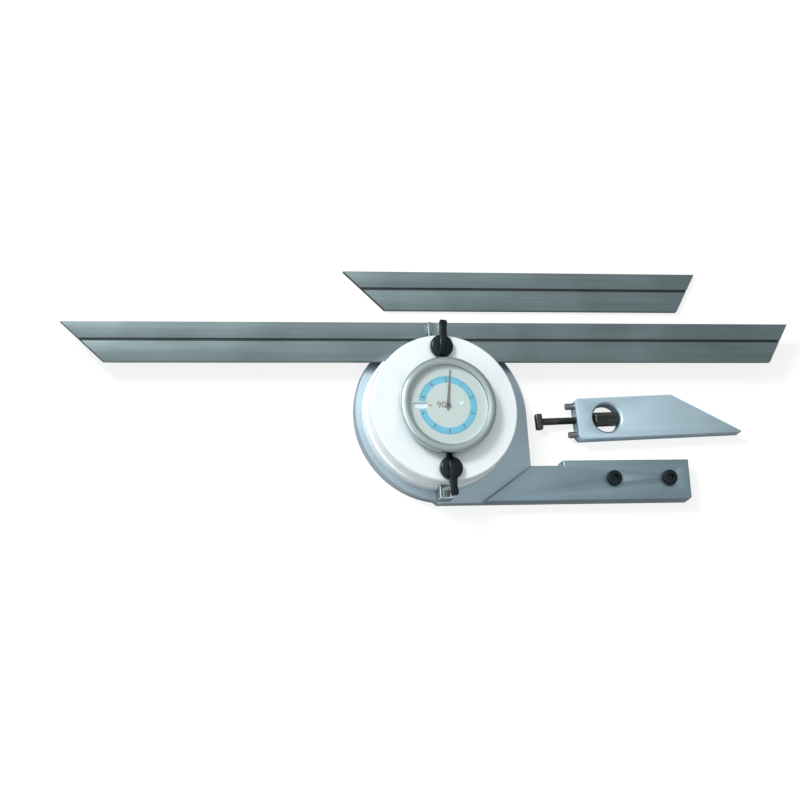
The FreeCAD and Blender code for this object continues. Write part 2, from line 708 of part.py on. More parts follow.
def make_sun_gear():
    place = ("0", "sun_level")
    return make_gear("sun_gear", "wheel_teeth", 0.5, "sun_seat_radius", "gear_thickness", place)


def make_idler_lower_pinion():
    place = ("centre_distance", "sun_level")
    return make_gear("idler_lower_pinion", "pinion_teeth", 0, "arbor_radius", "gear_thickness", place)


def make_idler_upper_pinion():
    place = ("centre_distance", "tens_wheel_level")
    return make_gear("idler_upper_pinion", "pinion_teeth", 0, "arbor_radius",
                     "gear_thickness - gear_gap", place)


def make_idler_wheel():
    place = ("centre_distance", "idler_wheel_level")
    hub = ("idler_hub_radius", "idler_hub_height")
    return make_gear("idler_wheel", "wheel_teeth", 0.5, "arbor_radius", "wheel_thickness", place, hub)


def make_centre_pinion():
    place = ("0", "idler_wheel_level - gear_gap")
    return make_gear("centre_pinion", "pinion_teeth", 0, "arbor_radius", "gear_thickness", place)


def make_tens_wheel():
    place = ("0", "tens_wheel_level")
    return make_gear("tens_wheel", "wheel_teeth", 0.5, "bridge_boss_radius + arbor_clearance",
                     "gear_thickness", place)


def make_idler_arbor():
    bottom = "base_floor_top - pivot_depth"
    top = "tens_wheel_level + gear_thickness - gear_gap"
    arbor = cylinder("idler_arbor", "arbor_radius", f"{top} - ({bottom})", "centre_distance", "0", bottom)
    arbor.Label = "idler_arbor"
    return arbor


def make_pointer_arbor():
    bottom = "base_top + gear_gap"
    top = "pointer_level + pointer_hub_height"
    arbor = cylinder("pointer_arbor", "arbor_radius", f"{top} - ({bottom})", "0", "0", bottom)
    arbor.Label = "pointer_arbor"
    return arbor


# Turret

def make_turret_base():
    base = turned("turret_base", [
        ("post_radius + bush_clearance + bush_wall", "base_bottom"),
        ("base_radius", "base_bottom"),
        ("base_radius", "base_top - base_bevel"),
        ("base_radius - base_bevel", "base_top"),
        ("base_cavity_radius", "base_top"),
        ("base_cavity_radius", "base_floor_top"),
        ("post_radius + bush_clearance + bush_wall", "base_floor_top"),
    ])
    edge = "blade_inner_edge - blade_clearance"
    slot = polygon(sketch(base, level="base_top"), [
        ("-base_radius - fit_gap", edge),
        ("base_radius + fit_gap", edge),
        ("base_radius + fit_gap", "base_radius + fit_gap"),
        ("-base_radius - fit_gap", "base_radius + fit_gap"),
    ])
    pocket(base, slot, "base_top - slot_floor")
    notch = polygon(sketch(base, level="base_top"), jaw_notch(-1))
    pocket(base, notch, "base_top - (lock_jaw_level - jaw_side_gap)")
    pivot = circle(sketch(base, level="base_floor_top"), "arbor_radius + arbor_clearance",
                   "centre_distance")
    pocket(base, pivot, "pivot_depth + gear_gap")
    screw_holes = sketch(base, level="base_top")
    for angle in MOVEMENT_SCREW_ANGLES:
        x, y = around("movement_screw_circle", angle)
        circle(screw_holes, "movement_screw_radius", x, y)
    pocket(base, screw_holes, "movement_screw_length")
    heads = sketch(base, level="base_bottom")
    holes = sketch(base, level="base_bottom")
    for angle in HOUSING_SCREW_ANGLES:
        x, y = around("housing_wall_middle", angle)
        circle(heads, "housing_screw_head_radius", x, y)
        circle(holes, "housing_screw_radius", x, y)
    pocket(base, heads, "housing_screw_sink + housing_screw_head_height", forward=True)
    pocket(base, holes, "base_top - base_bottom", forward=True)
    return base


def jaw_notch(side):
    """Outline of the radial notch for a jaw, on the blade's side (1) or opposite (-1)."""
    half = "jaw_width / 2 + jaw_side_gap"
    inner = f"{side} * (jaw_inner_reach - jaw_side_gap)"
    outer = f"{side} * (base_radius + fit_gap)"
    return [(f"-({half})", inner), (half, inner), (half, outer), (f"-({half})", outer)]


def make_turret_bush():
    return turned("turret_bush", [
        ("post_radius + bush_clearance", "base_bottom"),
        ("post_radius + bush_clearance + bush_wall", "base_bottom"),
        ("post_radius + bush_clearance + bush_wall", "base_floor_top"),
        ("post_radius + bush_clearance", "base_floor_top"),
    ])


def make_dial_housing():
    groove_top = "housing_level - housing_groove_drop"
    groove_bottom = f"{groove_top} - housing_groove_width"
    housing = turned("dial_housing", [
        ("housing_cavity_radius", "base_top"),
        ("housing_radius", "base_top"),
        ("housing_radius", groove_bottom),
        ("housing_radius - housing_groove_depth", groove_bottom),
        ("housing_radius - housing_groove_depth", groove_top),
        ("housing_radius", groove_top),
        ("housing_radius", "housing_level - housing_bevel"),
        ("housing_radius - housing_bevel", "housing_level"),
        ("neck_radius", "housing_level"),
        ("neck_radius", "neck_top"),
        ("neck_bore", "neck_top"),
        ("neck_bore", "ceiling"),
        ("housing_cavity_radius", "ceiling"),
    ])
    notch_tops = {1: "blade_jaw_level + blade_jaw_height + jaw_lift_gap",
                  -1: "lock_jaw_level + lock_jaw_height + jaw_lift_gap"}
    for side, top in notch_tops.items():
        notch = polygon(sketch(housing, level="base_top"), jaw_notch(side))
        pocket(housing, notch, f"{top} - base_top", forward=True)
        place = f"{side} * stud_circle"
        collar = circle(sketch(housing, level="base_top"), "stud_pocket_radius", "0", place)
        pocket(housing, collar, "ceiling - base_top", forward=True)
        hole = circle(sketch(housing, level="ceiling"), "stud_radius + stud_clearance", "0", place)
        pocket(housing, hole, "housing_top", forward=True)
    holes = sketch(housing, level="base_top")
    for angle in HOUSING_SCREW_ANGLES:
        x, y = around("housing_wall_middle", angle)
        circle(holes, "housing_screw_radius", x, y)
    shank_top = "base_bottom + housing_screw_sink + housing_screw_head_height + housing_screw_length"
    pocket(housing, holes, f"{shank_top} - base_top", forward=True)
    return housing


def make_housing_screws():
    places = [around("housing_wall_middle", angle) for angle in HOUSING_SCREW_ANGLES]
    head = ("housing_screw_head_radius", "housing_screw_head_height")
    shank = ("housing_screw_radius", "housing_screw_length")
    level = "base_bottom + housing_screw_sink + housing_screw_head_height"
    return screws("housing_screws", places, head, shank, level, head_below=True)


def make_movement_plate():
    plate = body("movement_plate")
    level = "base_top"
    pad(plate, circle(sketch(plate, level=level), "movement_plate_radius"), "movement_plate_thickness")
    holes = sketch(plate, level=level)
    circle(holes, "arbor_radius + arbor_clearance")
    circle(holes, "arbor_radius + arbor_clearance", "centre_distance")
    for angle in MOVEMENT_SCREW_ANGLES:
        x, y = around("movement_screw_circle", angle)
        circle(holes, "movement_screw_radius", x, y)
    pocket(plate, holes, "movement_plate_thickness", forward=True)
    return plate


def make_movement_screws():
    places = [around("movement_screw_circle", angle) for angle in MOVEMENT_SCREW_ANGLES]
    head = ("movement_screw_head_radius", "movement_screw_head_height")
    shank = ("movement_screw_radius", "movement_plate_thickness + movement_screw_length")
    return screws("movement_screws", places, head, shank, "movement_top")


def make_pillars():
    pieces = []
    for index, angle in enumerate(PILLAR_ANGLES):
        x, y = around("pillar_circle", angle)
        name = f"pillar_{index}"
        post = cylinder(name, "pillar_radius", "bridge_level - movement_top", x, y, "movement_top")
        hole = cylinder(name + "_thread", "movement_screw_radius", "bridge_screw_length",
                        x, y, "bridge_level - bridge_screw_length")
        pieces.append(cut(name + "_drilled", post, hole))
    return group("movement_pillars", pieces)


def make_bridge():
    boss_top = "tens_disc_top"
    bridge = turned("dial_bridge", [
        ("arbor_radius + arbor_clearance", "bridge_level"),
        ("bridge_radius", "bridge_level"),
        ("bridge_radius", "bridge_top"),
        ("bridge_boss_radius", "bridge_top"),
        ("bridge_boss_radius", boss_top),
        ("arbor_radius + arbor_clearance", boss_top),
    ])
    holes = sketch(bridge, level="bridge_level")
    circle(holes, "arbor_radius + arbor_clearance", "centre_distance")
    for angle in PILLAR_ANGLES:
        x, y = around("pillar_circle", angle)
        circle(holes, "movement_screw_radius", x, y)
    pocket(bridge, holes, "bridge_thickness", forward=True)
    return bridge


def make_bridge_screws():
    places = [around("pillar_circle", angle) for angle in PILLAR_ANGLES]
    head = ("movement_screw_head_radius", "movement_screw_head_height")
    shank = ("movement_screw_radius", "bridge_thickness + bridge_screw_length")
    return screws("bridge_screws", places, head, shank, "bridge_top")


# Dial, pointer and bezel

def make_tens_disc():
    disc = body("tens_disc")
    level = "tens_disc_level"
    pad(disc, circle(sketch(disc, level=level), "tens_disc_radius"), "tens_disc_thickness")
    hole = circle(sketch(disc, level=level), "bridge_boss_radius + arbor_clearance")
    pocket(disc, hole, "tens_disc_thickness", forward=True)
    return disc


def make_dial_face():
    dial = body("dial_face")
    pad(dial, circle(sketch(dial, level="neck_top"), "dial_radius"), "dial_thickness")
    hole = circle(sketch(dial, level="neck_top"), "dial_hole_radius")
    pocket(dial, hole, "dial_thickness", forward=True)
    window = polygon(sketch(dial, level="neck_top"), [
        ("-window_outer", "-window_height / 2"),
        ("-window_inner", "-window_height / 2"),
        ("-window_inner", "window_height / 2"),
        ("-window_outer", "window_height / 2"),
    ])
    pocket(dial, window, "dial_thickness", forward=True)
    return dial


def make_pointer():
    pointer = body("pointer")
    middle = "pointer_level + (pointer_hub_height - pointer_thickness) / 2"
    needle = polygon(sketch(pointer, level=middle), [
        ("-pointer_root_width / 2", "-pointer_tail"),
        ("pointer_root_width / 2", "-pointer_tail"),
        ("pointer_root_width / 2", "0"),
        ("pointer_tip_width / 2", "pointer_length"),
        ("-pointer_tip_width / 2", "pointer_length"),
        ("-pointer_root_width / 2", "0"),
    ])
    pad(pointer, needle, "pointer_thickness")
    hub = circle(sketch(pointer, level="pointer_level"), "pointer_hub_radius")
    pad(pointer, hub, "pointer_hub_height")
    hole = circle(sketch(pointer, level="pointer_level"), "arbor_radius")
    pocket(pointer, hole, "pointer_hub_height", forward=True)
    return turn(pointer, "pointer_reading")


def make_spacer_ring():
    return turned("spacer_ring", [
        ("dial_radius - spacer_wall", "dial_top"),
        ("dial_radius", "dial_top"),
        ("dial_radius", "crystal_level"),
        ("dial_radius - spacer_wall", "crystal_level"),
    ])


def make_crystal():
    crystal = body("crystal")
    pad(crystal, circle(sketch(crystal, level="crystal_level"), "dial_radius"), "crystal_thickness")
    return crystal


def make_bezel():
    skirt_bottom = "housing_level + bezel_lift"
    return turned("bezel", [
        ("neck_radius + fit_gap", skirt_bottom),
        ("neck_radius + fit_gap + bezel_skirt_wall", skirt_bottom),
        ("neck_radius + fit_gap + bezel_skirt_wall", "bezel_shoulder"),
        ("bezel_radius", "bezel_shoulder"),
        ("bezel_radius", "bezel_top - bezel_bevel"),
        ("bezel_radius - bezel_bevel", "bezel_top"),
        ("dial_radius - bezel_lip_reach", "bezel_top"),
        ("dial_radius - bezel_lip_reach", "crystal_top"),
        ("bezel_bore", "crystal_top"),
        ("bezel_bore", "neck_top"),
        ("neck_radius + fit_gap", "neck_top"),
    ])


# Blades

def make_blade(label, length, left, inner_edge, level):
    """A blade with its points on the far edge, placed by its left point and its inner edge."""
    blade = body(label)
    outline = polygon(sketch(blade), [
        ("blade_width / tan(blade_left_angle)", "0"),
        (f"{length} - blade_width / tan(blade_right_angle)", "0"),
        (length, "blade_width"),
        ("0", "blade_width"),
    ])
    pad(blade, outline, "blade_thickness")
    groove = polygon(sketch(blade, level="blade_thickness"), [
        ("0", "blade_groove_line - blade_groove_width / 2"),
        (length, "blade_groove_line - blade_groove_width / 2"),
        (length, "blade_groove_line + blade_groove_width / 2"),
        ("0", "blade_groove_line + blade_groove_width / 2"),
    ])
    pocket(blade, groove, "blade_groove_depth")
    return put(blade, left, inner_edge, level)


# Clamping levers and jaws. A lever is drawn along its own X axis and turned to its direction;
# a jaw is drawn with its outer end along its own X axis.

def make_lever(label, place, angle):
    lever = turned(label, [
        ("0", "0"),
        ("lever_hub_radius", "0"),
        ("lever_hub_radius", "lever_hub_height - lever_dome"),
        ("lever_hub_radius - lever_dome / 3", "lever_hub_height - lever_dome / 3"),
        ("lever_hub_radius - lever_dome", "lever_hub_height"),
        ("0", "lever_hub_height"),
    ])
    handle = polygon(sketch(lever, "XZ_Plane"), [
        ("lever_dome - lever_hub_radius", "lever_relief"),
        ("lever_reach", "lever_relief"),
        ("lever_reach", "lever_tip_height"),
        ("lever_hub_radius", "lever_root_height"),
        ("0", "lever_crown_height"),
        ("lever_dome - lever_hub_radius", "lever_hub_height"),
    ])
    pad(lever, handle, "lever_width", both_sides=True)
    tail = polygon(sketch(lever, "XZ_Plane"), [
        ("-lever_tail_reach", "lever_relief"),
        ("0", "lever_relief"),
        ("0", "lever_tail_height"),
        ("-lever_tail_reach", "lever_tail_height"),
    ])
    pad(lever, tail, "lever_tail_width", both_sides=True)
    tip = number("lever_reach")
    bevel(lever, "lever_tip_bevel", lambda edge: all(
        abs(point.X - tip) < 1e-4 for point in edge.Vertexes) and edge.tangentAt(0).z ** 2 > 0.9)
    pocket(lever, circle(sketch(lever), "stud_radius"), "stud_into_lever", forward=True)
    return turn(put(lever, "0", place, "lever_level"), angle)


def make_stud(label, place, jaw_level):
    stud = turned(label, [
        ("0", f"{jaw_level} + stud_tip_gap"),
        ("stud_radius", f"{jaw_level} + stud_tip_gap"),
        ("stud_radius", "collar_top - stud_collar_height"),
        ("stud_collar_radius", "collar_top - stud_collar_height"),
        ("stud_collar_radius", "collar_top"),
        ("stud_radius", "collar_top"),
        ("stud_radius", "lever_level + stud_into_lever"),
        ("0", "lever_level + stud_into_lever"),
    ])
    return put(stud, "0", place, "0")


def make_jaw(label, side, profile, top):
    """A jaw from its side view: side is 1 on the blade's side and -1 opposite."""
    jaw = body(label)
    pad(jaw, polygon(sketch(jaw, "XZ_Plane"), profile), "jaw_width", both_sides=True)
    outer = profile[1][0]
    channel = polygon(sketch(jaw, level=top), [
        ("jaw_channel_inner", "-jaw_channel_width / 2"),
        (outer, "-jaw_channel_width / 2"),
        (outer, "jaw_channel_width / 2"),
        ("jaw_channel_inner", "jaw_channel_width / 2"),
    ])
    pocket(jaw, channel, "jaw_channel_depth")
    thread = circle(sketch(jaw, level=top), "stud_radius + stud_clearance", "stud_circle")
    pocket(jaw, thread, "lock_jaw_height + blade_jaw_height")
    return turn(jaw, f"{side} * 90")


def make_blade_jaw():
    bottom = "blade_jaw_level"
    top = "blade_jaw_level + blade_jaw_height"
    tongue = "blade_top - blade_groove_depth + tongue_gap"
    return make_jaw("blade_jaw", 1, [
        ("jaw_inner_reach", top),
        ("blade_jaw_outer_reach", top),
        ("blade_jaw_outer_reach", bottom),
        ("groove_line + tongue_width / 2", bottom),
        ("groove_line + tongue_width / 2", tongue),
        ("groove_line - tongue_width / 2", tongue),
        ("groove_line - tongue_width / 2", bottom),
        ("jaw_inner_reach", bottom),
    ], top)


def make_lock_jaw():
    top = "lock_jaw_level + lock_jaw_height"
    foot = "base_radius + lock_foot_gap"
    return make_jaw("lock_jaw", -1, [
        ("jaw_inner_reach", top),
        ("lock_jaw_outer_reach", top),
        ("lock_jaw_outer_reach", "plate_thickness + lock_jaw_gap"),
        (foot, "plate_thickness + lock_jaw_gap"),
        (foot, "lock_jaw_level"),
        ("jaw_inner_reach", "lock_jaw_level"),
    ], top)


# Acute-angle attachment, drawn along its own X axis from the middle of its left face

def lay(thing):
    return turn(put(thing, "acute_x", "acute_y", "0"), "acute_turn")


def make_acute_block():
    block = body("acute_block")
    half = "acute_width / 2"
    slope = "(acute_width - acute_tip_flat) / tan(acute_angle)"
    outline = polygon(sketch(block), [
        ("acute_corner", f"-{half}"),
        ("acute_length", f"-{half}"),
        ("acute_length", f"-{half} + acute_tip_flat"),
        (f"acute_length - {slope}", half),
        ("acute_corner", half),
        ("0", f"{half} - acute_corner"),
        ("0", f"-{half} + acute_corner"),
    ])
    pad(block, outline, "acute_thickness")
    window = circle(sketch(block), "acute_window_radius", "acute_window_x")
    pocket(block, window, "acute_thickness", forward=True)
    rim = lies_at("acute_thickness")
    bevel(block, "acute_window_bevel", lambda edge: rim(edge) and len(edge.Vertexes) == 1)
    bore = circle(sketch(block, "YZ_Plane"), "acute_bolt_radius + acute_bolt_clearance",
                  "0", "acute_axis")
    pocket(block, bore, "acute_window_x + acute_window_radius + acute_bore_beyond", forward=True)
    holes = sketch(block, "YZ_Plane")
    for side in (-1, 1):
        circle(holes, "acute_pin_radius", f"{side} * acute_pin_spacing / 2", "acute_axis")
    pocket(block, holes, "acute_pin_depth", forward=True)
    return lay(block)


def make_acute_pins():
    pins = []
    for index, side in enumerate((-1, 1)):
        pin = body(f"acute_pin_{index}")
        place = f"{side} * acute_pin_spacing / 2"
        drawing = circle(sketch(pin, "YZ_Plane", "-acute_pin_reach"), "acute_pin_radius",
                         place, "acute_axis")
        pad(pin, drawing, "acute_pin_reach + acute_pin_depth")
        pins.append(pin)
    return lay(group("acute_pins", pins))


def make_acute_bolt():
    bolt = body("acute_bolt")
    head = "-acute_bolt_reach - acute_head_thickness"
    half_length = "acute_head_length / 2"
    half_height = "acute_head_height / 2"
    outline = polygon(sketch(bolt, "YZ_Plane", head), [
        (f"-{half_length}", f"acute_axis - {half_height}"),
        (half_length, f"acute_axis - {half_height}"),
        (half_length, f"acute_axis + {half_height}"),
        (f"-{half_length}", f"acute_axis + {half_height}"),
    ])
    pad(bolt, outline, "acute_head_thickness")
    shank = circle(sketch(bolt, "YZ_Plane", "-acute_bolt_reach"), "acute_bolt_radius",
                   "0", "acute_axis")
    pad(bolt, shank, "acute_bolt_reach + acute_bolt_inside")
    return lay(bolt)


def make_acute_nut():
    nut = body("acute_nut")
    start = "acute_window_x - acute_nut_length / 2"
    drawing = circle(sketch(nut, "YZ_Plane", start), "acute_nut_radius", "0", "acute_axis")
    pad(nut, drawing, "acute_nut_length")
    document.recompute()
    bevel(nut, "acute_nut_bevel", lambda edge: len(edge.Vertexes) == 1)
    hole = circle(sketch(nut, "YZ_Plane", start), "acute_bolt_radius + acute_bolt_clearance",
                  "0", "acute_axis")
    pocket(nut, hole, "acute_nut_length", forward=True)
    return lay(nut)


NODES = [
    make_frame_plate(),
    make_stock(),
    make_stock_screws(),
    make_stock_dowels(),
    make_turret_post(),
    make_post_screws(),
    make_back_cover(),
    make_cover_screws(),
    make_sun_gear(),
    make_sun_nut(),
    make_turret_base(),
    make_turret_bush(),
    make_dial_housing(),
    make_housing_screws(),
    make_movement_plate(),
    make_movement_screws(),
    make_pillars(),
    make_bridge(),
    make_bridge_screws(),
    make_idler_arbor(),
    make_idler_lower_pinion(),
    make_idler_wheel(),
    make_idler_upper_pinion(),
    make_centre_pinion(),
    make_pointer_arbor(),
    make_tens_wheel(),
    make_tens_disc(),
    make_dial_face(),
    make_pointer(),
    make_spacer_ring(),
    make_crystal(),
    make_bezel(),
    make_blade("long_blade", "blade_length", "-blade_reach_left", "blade_inner_edge", "blade_level"),
    make_blade("short_blade", "short_blade_length", "-short_blade_reach_left",
               "short_blade_inner_edge", "0"),
    make_lever("blade_lever", "stud_circle", "blade_lever_angle"),
    make_stud("blade_lever_stud", "stud_circle", "blade_jaw_level"),
    make_blade_jaw(),
    make_lever("lock_lever", "-stud_circle", "lock_lever_angle"),
    make_stud("lock_lever_stud", "-stud_circle", "lock_jaw_level"),
    make_lock_jaw(),
    make_acute_block(),
    make_acute_pins(),
    make_acute_bolt(),
    make_acute_nut(),
]
document.recompute()

for thing in document.Objects:
    if "Invalid" in thing.State or "Error" in thing.State:
        raise RuntimeError(f"{thing.Name} failed: {thing.State}")
for node in NODES:
    if node.Shape.isNull() or not node.Shape.isValid():
        raise RuntimeError(f"{node.Label} has no valid shape")

os.makedirs("parts", exist_ok=True)
for node in NODES:
    node.Shape.exportStep(f"parts/{node.Label}.step")
    print(f"{node.Label:22s} solids {len(node.Shape.Solids)}  volume {node.Shape.Volume:10.2f}")
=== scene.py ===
"""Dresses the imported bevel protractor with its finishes, soft edges, levers, bezel and dial."""
import json
import math

import bmesh
import bpy
from mathutils import Matrix, Vector


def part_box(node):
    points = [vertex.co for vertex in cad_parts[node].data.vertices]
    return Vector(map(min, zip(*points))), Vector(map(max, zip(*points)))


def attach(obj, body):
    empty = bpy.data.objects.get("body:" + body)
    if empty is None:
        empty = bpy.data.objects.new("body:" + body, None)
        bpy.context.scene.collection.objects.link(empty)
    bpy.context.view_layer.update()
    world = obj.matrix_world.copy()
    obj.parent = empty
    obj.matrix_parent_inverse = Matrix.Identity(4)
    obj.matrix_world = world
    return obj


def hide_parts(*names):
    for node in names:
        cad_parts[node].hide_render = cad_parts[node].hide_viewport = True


bl_info = {
    "name": "Bevel Protractor",
    "version": (1, 0, 0),
    "blender": (4, 5, 0),
    "location": "View3D > Sidebar > Protractor",
    "description": "Builds the finishes and the fine pieces of a dial bevel protractor",
    "category": "Object",
}

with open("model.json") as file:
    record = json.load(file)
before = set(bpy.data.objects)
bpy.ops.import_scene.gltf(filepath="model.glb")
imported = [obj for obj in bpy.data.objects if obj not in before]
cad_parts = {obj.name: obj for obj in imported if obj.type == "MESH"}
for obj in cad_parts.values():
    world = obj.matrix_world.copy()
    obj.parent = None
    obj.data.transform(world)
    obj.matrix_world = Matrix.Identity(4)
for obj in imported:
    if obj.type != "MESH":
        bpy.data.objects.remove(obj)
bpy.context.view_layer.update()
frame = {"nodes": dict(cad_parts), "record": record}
NODES = frame["nodes"]
MM = 0.001
TURN = 2 * math.pi
SHARP = math.radians(40)    # edges that turn by more than this are rounded

# Distances within which two places count as close, and as the same
CLOSE = 1e-6
SAME = 1e-7


def shade(red, green, blue):
    """A colour as it is seen on a screen, from 0 to 255, in linear light."""
    parts = [value / 255 for value in (red, green, blue)]
    return tuple(v / 12.92 if v < 0.04045 else ((v + 0.055) / 1.055) ** 2.4 for v in parts)


# Sizes and colours that a user may change

def length(name, about, value):
    return bpy.props.FloatProperty(
        name=name, description=about, default=value, min=0, unit="LENGTH", precision=5)


def colour(name, about, value):
    return bpy.props.FloatVectorProperty(
        name=name, description=about, default=value, min=0, max=1, size=3, subtype="COLOR")


class ProtractorSizes(bpy.types.PropertyGroup):
    edge: length("Broken edge", "Width of the broken edges of blades, plate and stock", 0.12 * MM)
    # The jaws' rounded edges carry a bright colour, a painted highlight
    jaw_edge: length("Jaw edge", "Width of the polished edges of the clamping jaws", 0.45 * MM)
    handle: length("Handle width", "Width of the handles of the clamping levers", 2.9 * MM)
    rim_round: length("Rim round", "Rounding of the bezel's rim", 0.5 * MM)
    band_inner: length("Band inside", "Inner radius of the coloured band on the dial", 9.1 * MM)
    band_outer: length("Band outside", "Outer radius of the coloured band on the dial", 11.8 * MM)
    print_height: length("Print height", "Thickness of the print on the dial", 0.02 * MM)
    numeral: length("Numerals", "Height of the numerals on the band", 1.7 * MM)


class ProtractorColours(bpy.types.PropertyGroup):
    blade: colour("Blades", "Ground steel of both blades", shade(112, 128, 131))
    plate: colour("Plate", "Ground steel of the round plate", shade(153, 173, 184))
    stock: colour("Stock", "Ground steel of the stock", shade(121, 142, 151))
    attachment: colour("Attachment", "Ground steel of the attachment", shade(170, 194, 206))
    chrome: colour("Satin chrome", "Turret base and dial housing", shade(228, 237, 240))
    bezel: colour("Bezel", "Satin bezel round the dial", shade(164, 178, 180))
    dial: colour("Dial", "Enamel of the dial", shade(182, 200, 197))
    band: colour("Band", "Coloured band on the dial", shade(66, 174, 205))
    ink: colour("Band ink", "Graduations and numerals on the band", shade(24, 104, 134))
    black: colour("Black", "Blackened levers and screws", shade(38, 45, 49))
    brass: colour("Brass", "Gears and plates of the movement", shade(206, 172, 98))


def sizes():
    return bpy.context.scene.protractor_sizes


def colours():
    return bpy.context.scene.protractor_colours


# Node groups shared by the finishes

# Nearly all of a noise texture lies between these two values
NOISE_LOW, NOISE_HIGH = 0.3, 0.7

# How fine each pattern is, in repeats to a metre
GROUND_LINES = (18.0, 900.0, 900.0)
TURNED_RINGS = 1400.0
FINE_GRAIN = 3200.0
GROUND_SMUDGES = 38.0
TURNED_SMUDGES = 55.0
GRAIN_SMUDGES = 160.0
SMUDGE_DETAIL = 3.0


def group_with(name, takes, gives):
    """A node group with named inputs and outputs: each input is a name, a kind and a value."""
    tree = bpy.data.node_groups.new(name, "ShaderNodeTree")
    for label, kind, value in takes:
        socket = tree.interface.new_socket(label, in_out="INPUT", socket_type=kind)
        socket.default_value = value
    for label, kind in gives:
        tree.interface.new_socket(label, in_out="OUTPUT", socket_type=kind)
    return tree, tree.nodes.new("NodeGroupInput"), tree.nodes.new("NodeGroupOutput")


def node(tree, kind, **values):
    """A node with its properties set, or its sockets where the key is a socket's name."""
    made = tree.nodes.new("ShaderNode" + kind)
    for key, value in values.items():
        if key in made.inputs:
            made.inputs[key].default_value = value
        else:
            setattr(made, key, value)
    return made


def maths(tree, operation, first, second=None):
    made = tree.nodes.new("ShaderNodeMath")
    made.operation = operation
    for index, value in enumerate((first, second)):
        if value is None:
            continue
        if isinstance(value, (int, float)):
            made.inputs[index].default_value = value
        else:
            tree.links.new(value, made.inputs[index])
    return made.outputs[0]


def spread(tree, factor, low, high):
    """Turn a noise texture's value into one between low and high."""
    made = node(tree, "MapRange", **{"From Min": NOISE_LOW, "From Max": NOISE_HIGH})
    tree.links.new(factor, made.inputs["Value"])
    for label, value in (("To Min", low), ("To Max", high)):
        if isinstance(value, (int, float)):
            made.inputs[label].default_value = value
        else:
            tree.links.new(value, made.inputs[label])
    return made.outputs["Result"]


def lightened(tree, base, factor):
    """Multiply a colour by a value that varies about 1."""
    made = node(tree, "VectorMath", operation="SCALE")
    tree.links.new(base, made.inputs[0])
    tree.links.new(factor, made.inputs["Scale"])
    return made.outputs["Vector"]


METAL_INPUTS = [
    ("Colour", "NodeSocketColor", (0.8, 0.8, 0.8, 1)),
    ("Roughness", "NodeSocketFloat", 0.35),
    ("Lines", "NodeSocketFloat", 0.06),
    ("Smudges", "NodeSocketFloat", 0.08),
]
METAL_OUTPUTS = [
    ("Colour", "NodeSocketColor"),
    ("Roughness", "NodeSocketFloat"),
    ("Height", "NodeSocketFloat"),
]


def finish_outputs(tree, takes, gives, lines, smudges):
    """Turn fine lines and wide smudges into colour, roughness and height."""
    fine = spread(tree, lines, maths(tree, "SUBTRACT", 1.0, takes.outputs["Lines"]),
                  maths(tree, "ADD", 1.0, takes.outputs["Lines"]))
    wide = spread(tree, smudges, maths(tree, "SUBTRACT", 1.0, takes.outputs["Smudges"]),
                  maths(tree, "ADD", 1.0, takes.outputs["Smudges"]))
    tone = lightened(tree, takes.outputs["Colour"], maths(tree, "MULTIPLY", fine, wide))
    smoothest, roughest = 0.85, 1.2
    rough = spread(tree, smudges, maths(tree, "MULTIPLY", takes.outputs["Roughness"], smoothest),
                   maths(tree, "MULTIPLY", takes.outputs["Roughness"], roughest))
    tree.links.new(tone, gives.inputs["Colour"])
    tree.links.new(rough, gives.inputs["Roughness"])
    tree.links.new(lines, gives.inputs["Height"])


def noise(tree, vector, scale, detail=4.0):
    made = node(tree, "TexNoise", Scale=scale, Detail=detail)
    tree.links.new(vector, made.inputs["Vector"])
    return made.outputs["Fac"]


def ground_group():
    """Metal ground along X: long fine lines and wide hand-worn smudges."""
    tree, takes, gives = group_with("Ground along X", METAL_INPUTS, METAL_OUTPUTS)
    place = node(tree, "TexCoord").outputs["Object"]
    along = node(tree, "Mapping", Scale=GROUND_LINES)
    tree.links.new(place, along.inputs["Vector"])
    lines = noise(tree, along.outputs["Vector"], 1.0)
    smudges = noise(tree, place, GROUND_SMUDGES, SMUDGE_DETAIL)
    finish_outputs(tree, takes, gives, lines, smudges)
    return tree


def turned_group():
    """Metal turned about Z: fine rings and wide smudges."""
    tree, takes, gives = group_with("Turned about Z", METAL_INPUTS, METAL_OUTPUTS)
    place = node(tree, "TexCoord").outputs["Object"]
    split = node(tree, "SeparateXYZ")
    tree.links.new(place, split.inputs["Vector"])
    square_x = maths(tree, "MULTIPLY", split.outputs["X"], split.outputs["X"])
    square_y = maths(tree, "MULTIPLY", split.outputs["Y"], split.outputs["Y"])
    radius = maths(tree, "SQRT", maths(tree, "ADD", square_x, square_y))
    ring = node(tree, "CombineXYZ")
    tree.links.new(maths(tree, "MULTIPLY", radius, TURNED_RINGS), ring.inputs["X"])
    tree.links.new(maths(tree, "MULTIPLY", split.outputs["Z"], TURNED_RINGS), ring.inputs["Y"])
    lines = noise(tree, ring.outputs["Vector"], 1.0)
    smudges = noise(tree, place, TURNED_SMUDGES, SMUDGE_DETAIL)
    finish_outputs(tree, takes, gives, lines, smudges)
    return tree


def grained_group():
    """A fine even grain with wide smudges, as on blackened, blasted or enamelled metal."""
    tree, takes, gives = group_with("Fine grain", METAL_INPUTS, METAL_OUTPUTS)
    place = node(tree, "TexCoord").outputs["Object"]
    grain = noise(tree, place, FINE_GRAIN, detail=2.0)
    smudges = noise(tree, place, GRAIN_SMUDGES, SMUDGE_DETAIL)
    finish_outputs(tree, takes, gives, grain, smudges)
    return tree


